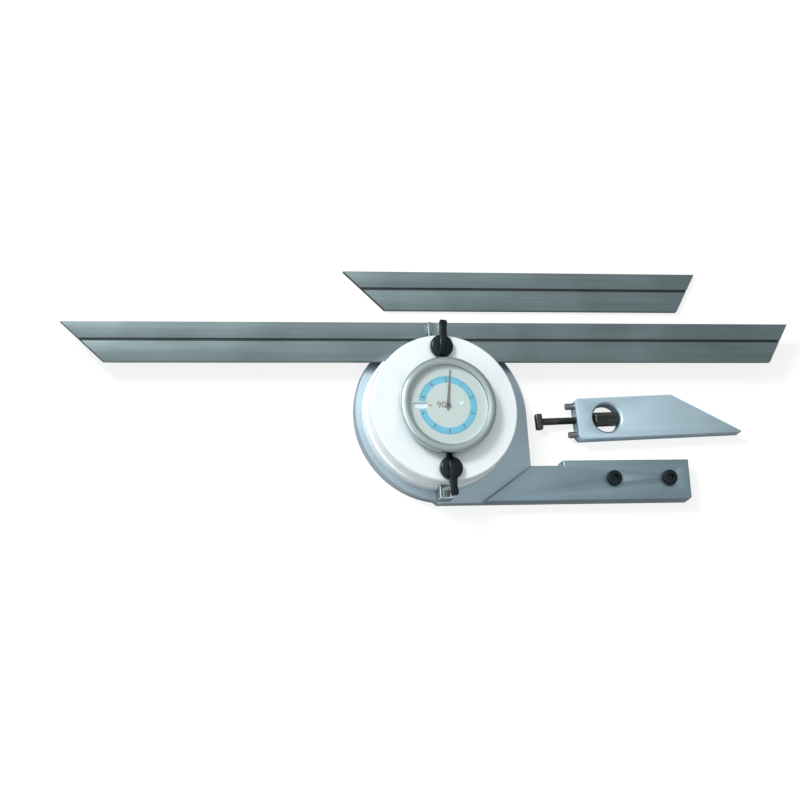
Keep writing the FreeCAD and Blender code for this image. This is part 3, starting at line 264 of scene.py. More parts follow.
def metal(name, group, tint, rough, metallic=1.0, lines=0.05, smudges=0.06, bump=0.12):
    """A finish made of a node group and a Principled shader."""
    made = bpy.data.materials.new("finish_" + name)
    made.use_nodes = True
    tree = made.node_tree
    shader = tree.nodes["Principled BSDF"]
    finish = tree.nodes.new("ShaderNodeGroup")
    finish.node_tree = group
    finish.inputs["Colour"].default_value = (*tint, 1)
    finish.inputs["Roughness"].default_value = rough
    finish.inputs["Lines"].default_value = lines
    finish.inputs["Smudges"].default_value = smudges
    depth = 0.02 * MM
    relief = node(tree, "Bump", Strength=bump, Distance=depth)
    tree.links.new(finish.outputs["Colour"], shader.inputs["Base Color"])
    tree.links.new(finish.outputs["Roughness"], shader.inputs["Roughness"])
    tree.links.new(finish.outputs["Height"], relief.inputs["Height"])
    tree.links.new(relief.outputs["Normal"], shader.inputs["Normal"])
    shader.inputs["Metallic"].default_value = metallic
    made.diffuse_color = (*tint, 1)
    return made


def enamel(name, group, tint, rough=0.45, lines=0.03, smudges=0.06):
    """A finish for enamel and print: the same grain with no metal in it."""
    return metal(name, group, tint, rough, metallic=0.0, lines=lines, smudges=smudges, bump=0.03)


def clear_glass(name, group):
    made = metal(name, group, (0.95, 0.98, 0.98), 0.04, metallic=0.0, lines=0.0, smudges=0.02,
                 bump=0.0)
    shader = made.node_tree.nodes["Principled BSDF"]
    shader.inputs["Alpha"].default_value = 0.06
    shader.inputs["IOR"].default_value = 1.5
    return made


def finish_of(name):
    return bpy.data.materials["finish_" + name]


# Modelling helpers

def deselect():
    if bpy.context.object and bpy.context.object.mode != "OBJECT":
        bpy.ops.object.mode_set(mode="OBJECT")
    bpy.ops.object.select_all(action="DESELECT")


def activate(piece):
    deselect()
    piece.select_set(True)
    bpy.context.view_layer.objects.active = piece


def edit(piece):
    activate(piece)
    bpy.ops.object.mode_set(mode="EDIT")
    bpy.ops.mesh.select_all(action="DESELECT")


def pick(piece, test, kind="faces"):
    """Select, in edit mode, the faces or vertices whose centre passes the test."""
    mesh = bmesh.from_edit_mesh(piece.data)
    mesh.select_mode = {"VERT"} if kind == "verts" else {"FACE"}
    bpy.context.tool_settings.mesh_select_mode = (kind == "verts", False, kind == "faces")
    for item in getattr(mesh, kind):
        centre = item.co if kind == "verts" else item.calc_center_median()
        item.select_set(test(centre))
    mesh.select_flush_mode()
    bmesh.update_edit_mesh(piece.data)


def added(name):
    """Name the primitive that was just added."""
    piece = bpy.context.object
    piece.name = name
    piece.data.name = name
    return piece


def applied(piece):
    """Put the piece's place, turn and scale into its mesh."""
    activate(piece)
    bpy.ops.object.transform_apply(location=True, rotation=True, scale=True)
    return piece


def block(name, place, size):
    """A box of a size about its place, as the start of a piece."""
    deselect()
    bpy.ops.mesh.primitive_cube_add(size=1, location=place)
    piece = added(name)
    piece.scale = size
    return applied(piece)


def modify(piece, kind, **values):
    """Add a modifier, set it and apply it."""
    activate(piece)
    modifier = piece.modifiers.new(kind.title(), kind)
    for key, value in values.items():
        setattr(modifier, key, value)
    bpy.ops.object.modifier_apply(modifier=modifier.name)
    return piece


def smooth(piece, angle=35):
    activate(piece)
    bpy.ops.object.shade_smooth_by_angle(angle=math.radians(angle))
    return piece


def joined(name, pieces):
    deselect()
    for piece in pieces:
        piece.select_set(True)
    bpy.context.view_layer.objects.active = pieces[0]
    bpy.ops.object.join()
    return added(name)


def copied(piece, name):
    """A copy with its own mesh."""
    activate(piece)
    bpy.ops.object.duplicate(linked=False)
    return added(name)


def lathe(name, profile, steps=128, closed=True):
    """A ring or a disc about Z, drawn from one circle by extruding and resizing it.

    The profile is pairs of radius and height. A closed one joins its last circle to its first;
    an open one is filled at both ends.
    """
    radius, height = profile[0]
    deselect()
    bpy.ops.mesh.primitive_circle_add(vertices=steps, radius=radius, location=(0, 0, height))
    piece = applied(added(name))
    bpy.ops.object.mode_set(mode="EDIT")
    bpy.context.tool_settings.mesh_select_mode = (True, False, False)
    bpy.ops.mesh.select_all(action="SELECT")
    if not closed:
        bpy.ops.mesh.edge_face_add()
    for new_radius, new_height in profile[1:]:
        if closed:
            bpy.ops.mesh.extrude_edges_move()
        else:
            bpy.ops.mesh.extrude_region_move()
        scale = new_radius / radius
        bpy.ops.transform.resize(value=(scale, scale, 1), center_override=(0, 0, height))
        bpy.ops.transform.translate(value=(0, 0, new_height - height))
        radius, height = new_radius, new_height
    if closed:
        first_radius, first_height = profile[0]
        mesh = bmesh.from_edit_mesh(piece.data)
        for vertex in mesh.verts:
            reach = vertex.co.xy.length
            first = abs(reach - first_radius) < SAME and abs(vertex.co.z - first_height) < SAME
            last = abs(reach - radius) < SAME and abs(vertex.co.z - height) < SAME
            vertex.select_set(first or last)
        mesh.select_flush_mode()
        bmesh.update_edit_mesh(piece.data)
        bpy.ops.mesh.bridge_edge_loops()
    bpy.ops.mesh.select_all(action="SELECT")
    bpy.ops.mesh.normals_make_consistent(inside=False)
    bpy.ops.object.mode_set(mode="OBJECT")
    return piece


def finished(piece, slot, body, *nodes):
    """Give a piece its finish and its body, and hide the nodes that it replaces."""
    if finish_of(slot).name not in piece.data.materials:
        piece.data.materials.clear()
        piece.data.materials.append(finish_of(slot))
    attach(piece, body)
    if nodes:
        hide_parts(*nodes)
    return piece


def softened(name, node_name, width, *slots, edge_slot=0):
    """A copy of a node's mesh, merged, with its sharp edges broken and its finishes listed."""
    piece = bpy.data.objects.new(name, NODES[node_name].data.copy())
    bpy.context.scene.collection.objects.link(piece)
    piece.data.materials.clear()
    for slot in slots:
        piece.data.materials.append(finish_of(slot))
    edit(piece)
    bpy.ops.mesh.select_all(action="SELECT")
    bpy.ops.mesh.remove_doubles(threshold=CLOSE)
    bpy.ops.mesh.dissolve_limited(angle_limit=math.radians(0.5))
    bpy.ops.mesh.normals_make_consistent(inside=False)
    bpy.ops.object.mode_set(mode="OBJECT")
    if piece.data.has_custom_normals:
        bpy.ops.mesh.customdata_custom_splitnormals_clear()
    modify(piece, "BEVEL", width=width, segments=2, limit_method="ANGLE",
           angle_limit=SHARP, miter_outer="MITER_ARC", material=edge_slot)
    return smooth(piece, 30)


def middle(node_name):
    """The centre of a node's box."""
    low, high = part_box(node_name)
    return (low + high) / 2


# Operators

class Finishes(bpy.types.Operator):
    """Make every finish and give the protractor's own solids theirs"""
    bl_idname = "protractor.finishes"
    bl_label = "Finishes"

    def execute(self, context):
        ground, turned, grain = ground_group(), turned_group(), grained_group()
        tint = colours()
        metal("frame_steel", ground, tint.plate, 0.36, 0.75, lines=0.035, smudges=0.05)
        metal("stock_steel", ground, tint.stock, 0.36, 0.75, lines=0.04, smudges=0.06)
        metal("stock_steel:attachment", ground, tint.attachment, 0.35, 0.75, lines=0.04,
              smudges=0.06)
        metal("blade_steel", ground, tint.blade, 0.32, 0.85, lines=0.09, smudges=0.13, bump=0.2)
        # The blades' grooves take a much darker colour: painted shade in the recess
        metal("blade_steel:groove", ground, shade(58, 66, 68), 0.4, 0.8, lines=0.1, smudges=0.2)
        metal("satin_chrome", turned, tint.chrome, 0.45, 0.35, lines=0.015, smudges=0.02)
        metal("bezel_chrome", turned, tint.bezel, 0.24, lines=0.05, smudges=0.06)
        metal("bright_chrome", turned, shade(236, 242, 243), 0.12, lines=0.02, smudges=0.03)
        metal("jaw_steel", grain, shade(126, 144, 148), 0.26, lines=0.05, smudges=0.12)
        # A bright colour for the jaws' rounded edges: a painted highlight
        metal("jaw_steel:edge", grain, shade(214, 226, 230), 0.2, lines=0.02, smudges=0.05)
        metal("hard_steel", grain, shade(122, 128, 130), 0.28, lines=0.04, smudges=0.08)
        metal("dark_steel", grain, shade(72, 74, 73), 0.30, lines=0.06, smudges=0.14)
        metal("black_steel", grain, tint.black, 0.32, lines=0.10, smudges=0.16)
        metal("lever_black", grain, tint.black, 0.28, lines=0.10, smudges=0.18)
        metal("brass", ground, tint.brass, 0.28, lines=0.05, smudges=0.08)
        metal("bronze", turned, shade(160, 112, 70), 0.32, lines=0.05, smudges=0.08)
        enamel("dial_white", grain, tint.dial, 0.42, lines=0.012, smudges=0.03)
        enamel("dial_white:band", grain, tint.band, lines=0.02, smudges=0.05)
        enamel("dial_white:ink", grain, tint.ink)
        enamel("dial_white:red", grain, shade(178, 74, 70))
        enamel("dial_white:grey", grain, shade(104, 112, 112))
        enamel("tens_white", grain, shade(214, 238, 245), lines=0.012, smudges=0.02)
        metal("pointer_dark", grain, shade(104, 97, 95), 0.3, lines=0.05, smudges=0.1)
        clear_glass("crystal", grain)
        for part in frame["record"]["subparts"]:
            for slot in NODES[part["node"]].material_slots:
                slot.material = finish_of(part["material_slot"])
        return {"FINISHED"}


class Blades(bpy.types.Operator):
    """Break the edges of both blades and paint shade into their grooves with a darker finish"""
    bl_idname = "protractor.blades"
    bl_label = "Blades"

    def execute(self, context):
        for name, replaced, body in (("long_blade_ground", "long_blade", "blade"),
                                     ("spare_blade_ground", "short_blade", "spare_blade")):
            blade = softened(name, replaced, sizes().edge, "blade_steel", "blade_steel:groove")
            low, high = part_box(replaced)
            bottom, top = low.z + 0.5 * MM, high.z - 0.25 * MM
            near, far = low.y + 2 * MM, high.y - 2 * MM
            edit(blade)
            pick(blade, lambda centre: bottom < centre.z < top and near < centre.y < far)
            # The groove's faces get the darker finish, which paints shade into the groove
            blade.active_material_index = 1
            bpy.ops.object.material_slot_assign()
            bpy.ops.object.mode_set(mode="OBJECT")
            finished(blade, "blade_steel", body, replaced)
        return {"FINISHED"}


class Jaws(bpy.types.Operator):
    """Round the edges of both clamping jaws and paint a highlight on the rounded edges"""
    bl_idname = "protractor.jaws"
    bl_label = "Clamping jaws"

    def execute(self, context):
        for name, replaced, body in (("blade_jaw_ground", "blade_jaw", "blade_clamp_jaw"),
                                     ("lock_jaw_ground", "lock_jaw", "lock_clamp_jaw")):
            # The bevel's faces take the bright finish, a painted highlight
            jaw = softened(name, replaced, sizes().jaw_edge, "jaw_steel", "jaw_steel:edge",
                           edge_slot=1)
            finished(jaw, "jaw_steel", body, replaced)
        return {"FINISHED"}


class Plate(bpy.types.Operator):
    """Break the edges of the round plate and of the stock, and model its socket screws"""
    bl_idname = "protractor.plate"
    bl_label = "Plate and stock"

    def execute(self, context):
        width = sizes().edge
        for name, replaced, slot in (("plate_ground", "frame_plate", "frame_steel"),
                                     ("stock_ground", "stock", "stock_steel")):
            finished(softened(name, replaced, width, slot), slot, "frame", replaced)
        low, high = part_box("stock_screws")
        radius = (high.y - low.y) / 2
        seat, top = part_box("stock")[1].z, high.z
        shank, socket = radius * 0.62, radius * 0.56
        socket_floor, socket_depth = 0.84, 0.9 * MM
        heads = []
        for index, x in enumerate((low.x + radius, high.x - radius)):
            head = lathe(f"screw_{index}", [
                (shank, low.z),
                (shank, seat),
                (radius, seat),
                (radius, top - 0.35 * MM),
                (radius - 0.12 * MM, top - 0.12 * MM),
                (radius - 0.4 * MM, top),
                (socket, top),
            ], 48, closed=False)
            bpy.ops.object.mode_set(mode="EDIT")
            pick(head, lambda centre: centre.z > top - CLOSE and centre.xy.length < 0.1 * MM)
            bpy.ops.mesh.extrude_region_move()
            bpy.ops.transform.resize(value=(socket_floor, socket_floor, 1),
                                     center_override=(0, 0, top))
            bpy.ops.mesh.extrude_region_move()
            bpy.ops.transform.translate(value=(0, 0, -socket_depth))
            bpy.ops.object.mode_set(mode="OBJECT")
            head.location = (x, (low.y + high.y) / 2, 0)
            heads.append(smooth(applied(head)))
        finished(joined("socket_screws", heads), "black_steel", "frame", "stock_screws")
        return {"FINISHED"}


class Levers(bpy.types.Operator):
    """Model one clamping lever and copy it for the other clamp"""
    bl_idname = "protractor.levers"
    bl_label = "Clamping levers"

    def execute(self, context):
        low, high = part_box("blade_lever")
        stud = middle("blade_lever_stud")
        radius, hub_top, bore = 4.6 * MM, 2.7 * MM, 1.7 * MM
        top, reach, wide = high.z - low.z, 10.9 * MM, sizes().handle
        tail_reach, tail_wide = 6 * MM, 2.6 * MM
        blade_angle, lock_angle = 82, -86.5
        hub = smooth(lathe("hub", [
            (radius - 0.4 * MM, 0),
            (radius - 0.1 * MM, 0.12 * MM),
            (radius, 0.4 * MM),
            (radius, hub_top - 0.9 * MM),
            (radius - 0.12 * MM, hub_top - 0.5 * MM),
            (radius - 0.45 * MM, hub_top - 0.15 * MM),
            (radius - 0.9 * MM, hub_top),
            (bore, hub_top),
        ], 64, closed=False), 40)
        handle = self.bar("handle", -0.9 * radius, reach, wide, [
            (-0.9 * radius, hub_top, 0.8),
            (-0.45 * radius, top - 0.3 * MM, 1.0),
            (0, top, 1.05),
            (radius, 3.5 * MM, 1.0),
            (7.4 * MM, 2.9 * MM, 0.86),
            (9.4 * MM, 2.5 * MM, 1.08),
            (reach, 2.2 * MM, 0.95),
        ])
        tail = self.bar("tail", -tail_reach, 0, tail_wide, [
            (-tail_reach, 2.0 * MM, 0.85),
            (-radius, 2.2 * MM, 1.0),
        ])
        lever = joined("blade_clamp_handle", [hub, handle, tail])
        other = copied(lever, "lock_clamp_handle")
        for piece, side, angle, body, replaced in (
                (lever, 1, blade_angle, "blade_clamp_lever", "blade_lever"),
                (other, -1, lock_angle, "lock_clamp_lever", "lock_lever")):
            piece.rotation_euler = (0, 0, math.radians(angle))
            piece.location = (0, side * stud.y, low.z)
            finished(applied(piece), "lever_black", body, replaced)
        return {"FINISHED"}

    @staticmethod
    def bar(name, start, end, wide, stations):
        """A rounded bar along X: each station is its place, its top and its share of the width."""
        foot, tall = 0.1 * MM, 2 * MM
        piece = block(name, ((start + end) / 2, 0, foot + tall / 2), (end - start, wide, tall))
        edit(piece)
        for place, _, _ in stations:
            if start < place < end:
                bpy.ops.mesh.select_all(action="SELECT")
                bpy.ops.mesh.bisect(plane_co=(place, 0, 0), plane_no=(1, 0, 0))
        for place, height, share in stations:
            pick(piece, lambda co: abs(co.x - place) < CLOSE, "verts")
            bpy.ops.transform.resize(value=(1, share, 1), center_override=(place, 0, 0))
            pick(piece, lambda co: abs(co.x - place) < CLOSE and co.z > tall / 2, "verts")
            bpy.ops.transform.translate(value=(0, 0, height - foot - tall))
        bpy.ops.object.mode_set(mode="OBJECT")
        modify(piece, "BEVEL", width=0.55 * MM, segments=4, limit_method="ANGLE",
               angle_limit=SHARP)
        return smooth(piece, 40)


class Bezel(bpy.types.Operator):
    """Turn the bezel with its rounded rim"""
    bl_idname = "protractor.bezel"
    bl_label = "Bezel"

    def execute(self, context):
        low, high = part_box("bezel")
        rim, soft = high.x, sizes().rim_round
        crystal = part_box("crystal")[1]
        bore, crystal_top = crystal.x, crystal.z
        lip, groove, sleeve = bore - 0.7 * MM, bore + 0.1 * MM, bore - 0.05 * MM
        skirt = bore + 0.75 * MM
        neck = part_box("dial_face")[0].z
        shoulder = neck - 0.4 * MM
        bezel = lathe("bezel_ring", [
            (skirt, low.z),
            (skirt, shoulder - 0.3 * MM),
            (skirt + 0.3 * MM, shoulder),
            (rim - soft, shoulder),
            (rim - 0.3 * soft, shoulder + 0.3 * soft),
            (rim, shoulder + soft),
            (rim, high.z - 2.2 * soft),
            (rim - 0.15 * soft, high.z - 1.7 * soft),
            (rim - 0.6 * soft, high.z - 1.1 * soft),
            (rim - 1.3 * soft, high.z - 0.6 * soft),
            (rim - 2.3 * soft, high.z - 0.2 * soft),
            (rim - 3.4 * soft, high.z),
            (rim - 4.4 * soft, high.z),
            (rim - 5.2 * soft, high.z - 0.16 * soft),
            (lip, crystal_top + 0.15 * MM),
            (lip, crystal_top),
            (groove, crystal_top),
            (groove, neck),
            (sleeve, neck),
            (sleeve, low.z),
        ], 160)
        finished(smooth(bezel), "bezel_chrome", "turret", "bezel")
        return {"FINISHED"}


class Dial(bpy.types.Operator):
    """Print the coloured band, its graduations and plain numerals on the dial"""
    bl_idname = "protractor.dial"
    bl_label = "Dial print"

    # Half the angle at the centre over which the window interrupts the print
    GAP = 0.16
    MARK_GAP = 0.17

    def execute(self, context):
        size, top = sizes(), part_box("dial_face")[1].z
        self.band(size, top)
        self.graduations(size, top)
        self.numerals(size, top)
        self.window_print(size, top)
        self.pin(top)
        return {"FINISHED"}

    @staticmethod
    def by_window(place, half_angle):
        return place.x < 0 and abs(math.atan2(place.y, -place.x)) < half_angle

    def band(self, size, top):
        inner, outer, film = size.band_inner, size.band_outer, size.print_height
        deselect()
        bpy.ops.mesh.primitive_circle_add(vertices=240, radius=inner, location=(0, 0, top + film))
        band = applied(added("dial_band"))
        bpy.ops.object.mode_set(mode="EDIT")
        bpy.ops.mesh.select_all(action="SELECT")
        bpy.ops.mesh.extrude_edges_move()
        scale = outer / inner
        bpy.ops.transform.resize(value=(scale, scale, 1), center_override=(0, 0, top))
        pick(band, lambda centre: self.by_window(centre, self.GAP))
        bpy.ops.mesh.delete(type="FACE")
        bpy.ops.mesh.select_all(action="SELECT")
        bpy.ops.mesh.normals_make_consistent(inside=False)
        bpy.ops.object.mode_set(mode="OBJECT")
        modify(band, "SOLIDIFY", thickness=film * 0.8, offset=1)
        finished(band, "dial_white:band", "turret")

    def graduations(self, size, top):
        outer, film = size.band_outer, size.print_height
        marks = []
        for name, count, start, wide in (("long", 10, outer - 1.5 * MM, 0.3 * MM),
                                         ("short", 60, outer - 0.8 * MM, 0.16 * MM)):
            mark = block(name, ((start + outer) / 2, 0, top + 2 * film),
                         (outer - start, wide, film))
            edit(mark)
            bpy.ops.mesh.select_all(action="SELECT")
            bpy.ops.transform.rotate(value=math.pi / 2, orient_axis="Z", center_override=(0, 0, 0))
            bpy.ops.mesh.spin(steps=count, angle=TURN, center=(0, 0, 0), axis=(0, 0, 1), dupli=True)
            pick(mark, lambda co: self.by_window(co, self.MARK_GAP), "verts")
            bpy.ops.mesh.delete(type="VERT")
            bpy.ops.mesh.select_all(action="SELECT")
            bpy.ops.mesh.remove_doubles(threshold=SAME)
            bpy.ops.object.mode_set(mode="OBJECT")
            marks.append(mark)
        finished(joined("dial_graduations", marks), "dial_white:ink", "turret")

    def numerals(self, size, top):
        count = 10
        spot = size.band_inner + size.numeral * 0.55
        numerals = []
        for step in range(count):
            angle = math.pi / 2 - step * TURN / count
            numerals.append(self.text(str(step), size.numeral, spot * math.cos(angle),
                                      spot * math.sin(angle), top + 2 * size.print_height,
                                      angle - math.pi / 2))
        finished(joined("dial_numerals", numerals), "dial_white:ink", "turret")

    def window_print(self, size, top):
        """The tens that stand beside the window, and the mark that points into it."""
        film = size.print_height
        tens = self.text("90", 2.7 * MM, -2.6 * MM, 0.1 * MM, top + film, 0)
        tens.name = "dial_ninety"
        finished(tens, "dial_white:grey", "turret")
        deselect()
        bpy.ops.mesh.primitive_cone_add(vertices=3, radius1=0.75 * MM, radius2=0.55 * MM,
                                        depth=film, location=(-7.1 * MM, 0, top + film),
                                        rotation=(0, 0, math.pi / 2))
        finished(applied(added("dial_index_mark")), "dial_white:red", "turret")

    @staticmethod
    def pin(top):
        """The round-topped pin that stands on the dial; its white paints the bright spot of light
        seen there, a painted highlight.
        """
        pin = lathe("dial_pin", [
            (0.85 * MM, top),
            (0.85 * MM, top + 0.12 * MM),
            (0.7 * MM, top + 0.25 * MM),
            (0.3 * MM, top + 0.3 * MM),
        ], 32, closed=False)
        pin.location = (5.8 * MM, 0.8 * MM, 0)
        # The pin takes the white of the tens disc: a painted highlight
        finished(smooth(applied(pin)), "tens_white", "turret")

    @staticmethod
    def text(body, height, x, y, z, turn):
        """Figures of a height, raised off the dial by the thickness of the print."""
        size_to_height, weight = 1.35, 0.02
        deselect()
        bpy.ops.object.text_add(location=(x, y, z), rotation=(0, 0, turn))
        piece = added("numeral_" + body)
        piece.data.body = body
        piece.data.size = height * size_to_height
        piece.data.offset = height * weight
        piece.data.align_x = "CENTER"
        piece.data.align_y = "CENTER"
        piece.data.extrude = sizes().print_height / 2
        bpy.ops.object.convert(target="MESH")
        return applied(bpy.context.object)


class Pointer(bpy.types.Operator):
    """Model the tapered pointer and its domed hub"""
    bl_idname = "protractor.pointer"
    bl_label = "Pointer"

    def execute(self, context):
        low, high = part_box("pointer")
        level = (low.z + high.z) / 2
        turned_by = -math.radians(7.5)
        reach, tail, wide, thick = 14.6 * MM, 2 * MM, 0.62 * MM, 0.2 * MM
        tip_share, root_share = 0.6, 2.0
        hub = lathe("hub", [
            (0.9 * MM, low.z),
            (1.15 * MM, low.z + 0.05 * MM),
            (1.15 * MM, high.z - 0.2 * MM),
            (1.0 * MM, high.z - 0.06 * MM),
            (0.75 * MM, high.z),
        ], 40, closed=False)
        needle = block("needle", (0, (reach - tail) / 2, level), (wide, reach + tail, thick))
        edit(needle)
        bpy.ops.mesh.select_all(action="SELECT")
        bpy.ops.mesh.bisect(plane_co=(0, 0, level), plane_no=(0, 1, 0))
        pick(needle, lambda co: co.y > reach - 0.1 * MM, "verts")
        bpy.ops.transform.resize(value=(tip_share, 1, tip_share),
                                 center_override=(0, reach, level))
        pick(needle, lambda co: abs(co.y) < 0.1 * MM, "verts")
        bpy.ops.transform.resize(value=(root_share, 1, 1), center_override=(0, 0, level))
        bpy.ops.object.mode_set(mode="OBJECT")
        modify(needle, "BEVEL", width=0.04 * MM, segments=1, limit_method="ANGLE")
        pointer = smooth(joined("pointer_needle", [hub, needle]), 30)
        pointer.rotation_euler = (0, 0, turned_by)
        finished(applied(pointer), "pointer_dark", "pointer", "pointer")
        return {"FINISHED"}


class Attachment(bpy.types.Operator):
    """Model the attachment's block, its knurled nut and its threaded bolt"""
    bl_idname = "protractor.attachment"
    bl_label = "Acute-angle attachment"

    NUT_RADIUS = 2.9 * MM

    def execute(self, context):
        wedge = softened("attachment_block", "acute_block", sizes().edge, "stock_steel:attachment")
        finished(wedge, "stock_steel:attachment", "attachment", "acute_block")
        tilt = self.tilt()
        long_axis = Matrix.Rotation(tilt, 4, "Z") @ Matrix.Rotation(math.pi / 2, 4, "Y")
        centre = middle("acute_nut")
        radius, half, bore, corner = self.NUT_RADIUS, 4.8 * MM, 1.5 * MM, 0.5 * MM
        steps, knurl = 56, 0.93
        nut = lathe("knurled_nut", [
            (bore, -half),
            (radius - corner, -half),
            (radius, corner - half),
            (radius, -0.3 * MM),
            (radius, 0.3 * MM),
            (radius, half - corner),
            (radius - corner, half),
            (bore, half),
        ], steps)
        step = TURN / steps
        edit(nut)
        pick(nut, lambda co: co.xy.length > radius - 0.1 * MM and
             round(math.atan2(co.y, co.x) / step) % 2 == 0, "verts")
        bpy.ops.transform.resize(value=(knurl, knurl, 1), center_override=(0, 0, 0))
        bpy.ops.object.mode_set(mode="OBJECT")
        nut.matrix_world = Matrix.Translation(centre) @ long_axis
        finished(smooth(applied(nut), 20), "dark_steel", "attachment_nut", "acute_nut")
        self.bolt(long_axis, tilt)
        return {"FINISHED"}

    def tilt(self):
        """The angle at which the attachment lies, found in rounds from the box of its nut."""
        low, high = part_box("acute_nut")
        wide, deep = high.x - low.x, high.y - low.y
        angle, rounds = 0.0, 20
        for _ in range(rounds):
            angle = math.asin((deep - 2 * self.NUT_RADIUS * math.cos(angle)) / wide)
        return angle

    @staticmethod
    def bolt(long_axis, tilt):
        """A shank with its thread cut as rings, and a rounded T-shaped head."""
        along = Vector((math.cos(tilt), math.sin(tilt), 0))
        start = middle("acute_nut") - along * 26.8 * MM
        crest, root, pitch = 1.42 * MM, 1.18 * MM, 0.5 * MM
        thread_start, thread_end, length = 6.4 * MM, 29.2 * MM, 29.8 * MM
        profile = [(1.3 * MM, 0.0), (crest, 0.1 * MM), (crest, thread_start)]
        reach = thread_start
        while reach < thread_end:
            profile += [(crest, reach + 0.12 * MM),
                        (root, reach + 0.3 * MM),
                        (crest, reach + pitch)]
            reach += pitch
        profile += [(1.2 * MM, length)]
        shank = smooth(lathe("shank", profile, 24, closed=False), 40)
        head = block("head", (0, 0, -1.3 * MM), (2.8 * MM, 6.3 * MM, 2.6 * MM))
        modify(head, "BEVEL", width=0.35 * MM, segments=3)
        bolt = joined("threaded_bolt", [shank, smooth(head)])
        bolt.matrix_world = Matrix.Translation(start) @ long_axis
        finished(applied(bolt), "dark_steel", "attachment_bolt", "acute_bolt")


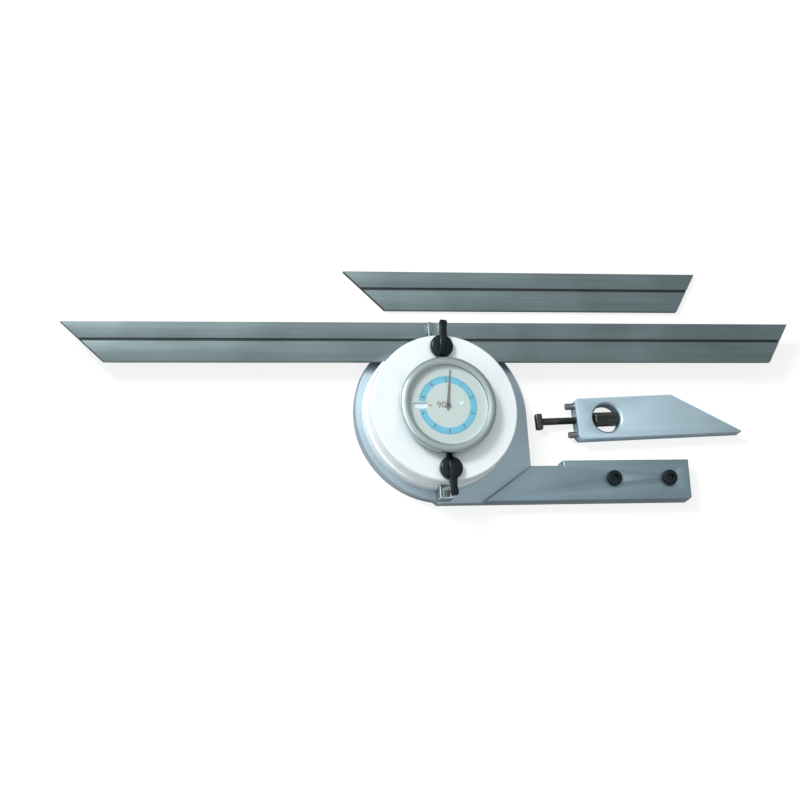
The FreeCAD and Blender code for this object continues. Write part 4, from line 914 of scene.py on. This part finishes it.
class Stage(bpy.types.Operator):
    """Set the floor, the light and the camera"""
    bl_idname = "protractor.stage"
    bl_label = "Stage"

    # Each lamp's name, place, size and power
    LAMPS = (("key", (-0.5, 0.38, 0.62), 0.25, 7.0),
             ("fill", (-0.6, -0.15, 0.5), 0.6, 1.2))
    # The camera's lens and sensor in millimetres, its place, and where it looks
    LENS, SENSOR = 117.39, 36
    EYE = (-0.283267, -0.256851, 0.963943)
    FORWARD = (0.261, 0.256, -0.931)
    UP = (0.003, 0.964, 0.266)

    def execute(self, context):
        scene = context.scene
        scene.view_settings.view_transform = "Standard"
        deselect()
        below = -0.02 * MM
        bpy.ops.mesh.primitive_plane_add(size=4, location=(0, 0, below))
        floor = applied(added("floor"))
        floor.data.materials.append(self.floor_finish())
        self.sky(scene)
        self.lamps(scene)
        self.camera(scene)
        return {"FINISHED"}

    def lamps(self, scene):
        for name, place, size, power in self.LAMPS:
            lamp = bpy.data.lights.new(name, "AREA")
            lamp.size = size
            lamp.energy = power
            holder = bpy.data.objects.new(name, lamp)
            holder.location = place
            holder.rotation_euler = (-Vector(place)).to_track_quat("-Z", "Y").to_euler()
            scene.collection.objects.link(holder)

    def camera(self, scene):
        view = bpy.data.cameras.new("camera")
        view.lens = self.LENS
        view.sensor_width = self.SENSOR
        camera = bpy.data.objects.new("camera", view)
        forward = Vector(self.FORWARD).normalized()
        right = forward.cross(Vector(self.UP)).normalized()
        up = right.cross(forward)
        turn = Matrix((right, up, -forward)).transposed().to_4x4()
        camera.matrix_world = Matrix.Translation(Vector(self.EYE)) @ turn
        scene.collection.objects.link(camera)
        scene.camera = camera

    @staticmethod
    def mixed(tree, factor, first, second):
        mix = tree.nodes.new("ShaderNodeMixShader")
        tree.links.new(factor, mix.inputs[0])
        tree.links.new(first, mix.inputs[1])
        tree.links.new(second, mix.inputs[2])
        return mix.outputs[0]

    def seen_white(self, tree, output, shaded, white):
        """Show white to the camera and through glass, and the shaded one to everything else."""
        rays = tree.nodes.new("ShaderNodeLightPath")
        seen = maths(tree, "MAXIMUM", rays.outputs["Is Camera Ray"],
                     rays.outputs["Is Transmission Ray"])
        tree.links.new(self.mixed(tree, seen, shaded, white), output.inputs["Surface"])

    def floor_finish(self):
        made = bpy.data.materials.new("pale_floor")
        made.use_nodes = True
        tree = made.node_tree
        tree.nodes.clear()
        output = tree.nodes.new("ShaderNodeOutputMaterial")
        matt = node(tree, "BsdfDiffuse", Color=(0.65, 0.65, 0.65, 1))
        glow = node(tree, "Emission", Color=(1, 1, 1, 1), Strength=0.8)
        both = tree.nodes.new("ShaderNodeAddShader")
        pale = node(tree, "BsdfDiffuse", Color=(0.24, 0.24, 0.24, 1))
        tree.links.new(glow.outputs[0], both.inputs[0])
        tree.links.new(pale.outputs[0], both.inputs[1])
        self.seen_white(tree, output, matt.outputs[0], both.outputs[0])
        return made

    def sky(self, scene):
        world = bpy.data.worlds.new("studio")
        world.use_nodes = True
        scene.world = world
        tree = world.node_tree
        tree.nodes.clear()
        output = tree.nodes.new("ShaderNodeOutputWorld")
        soft = node(tree, "Background", Color=(1, 1, 1, 1), Strength=0.42)
        white = node(tree, "Background", Color=(1, 1, 1, 1), Strength=1.0)
        mirrored = node(tree, "Background", Color=(1, 1, 1, 1))
        wide = self.glow_from(tree, (-0.45, 0.25, 0.86), -0.2, 1.0, 0.8)
        near = self.glow_from(tree, (0.0, 0.28, 0.96), 0.955, 1.0, 0.6)
        total = maths(tree, "ADD", maths(tree, "ADD", wide, near), 0.45)
        tree.links.new(total, mirrored.inputs["Strength"])
        rays = tree.nodes.new("ShaderNodeLightPath")
        shaded = self.mixed(tree, rays.outputs["Is Glossy Ray"], soft.outputs[0],
                            mirrored.outputs[0])
        self.seen_white(tree, output, shaded, white.outputs[0])

    @staticmethod
    def glow_from(tree, towards, start, end, strength):
        """A soft brightness of the sky round one direction."""
        way = node(tree, "VectorMath", operation="DOT_PRODUCT")
        tree.links.new(node(tree, "TexCoord").outputs["Generated"], way.inputs[0])
        way.inputs[1].default_value = Vector(towards).normalized()
        fade = node(tree, "MapRange", **{"From Min": start, "From Max": end})
        tree.links.new(way.outputs["Value"], fade.inputs["Value"])
        return maths(tree, "MULTIPLY", maths(tree, "POWER", fade.outputs[0], 2.0), strength)


STEPS = (Finishes, Blades, Jaws, Plate, Levers, Bezel, Dial, Pointer, Attachment, Stage)


class ProtractorPanel(bpy.types.Panel):
    """Lists the steps, the sizes and the colours"""
    bl_idname = "VIEW3D_PT_protractor"
    bl_label = "Bevel Protractor"
    bl_space_type = "VIEW_3D"
    bl_region_type = "UI"
    bl_category = "Protractor"

    def draw(self, context):
        for step in STEPS:
            self.layout.operator(step.bl_idname)
        for group in (context.scene.protractor_sizes, context.scene.protractor_colours):
            for name in group.__annotations__:
                self.layout.prop(group, name)


CLASSES = (ProtractorSizes, ProtractorColours, *STEPS, ProtractorPanel)


def register():
    for each in CLASSES:
        bpy.utils.register_class(each)
    bpy.types.Scene.protractor_sizes = bpy.props.PointerProperty(type=ProtractorSizes)
    bpy.types.Scene.protractor_colours = bpy.props.PointerProperty(type=ProtractorColours)


def unregister():
    del bpy.types.Scene.protractor_colours
    del bpy.types.Scene.protractor_sizes
    for each in reversed(CLASSES):
        bpy.utils.unregister_class(each)


def main():
    register()
    bpy.ops.protractor.finishes()
    bpy.ops.protractor.blades()
    bpy.ops.protractor.jaws()
    bpy.ops.protractor.plate()
    bpy.ops.protractor.levers()
    bpy.ops.protractor.bezel()
    bpy.ops.protractor.dial()
    bpy.ops.protractor.pointer()
    bpy.ops.protractor.attachment()
    bpy.ops.protractor.stage()


if __name__ == "__main__":
    main()
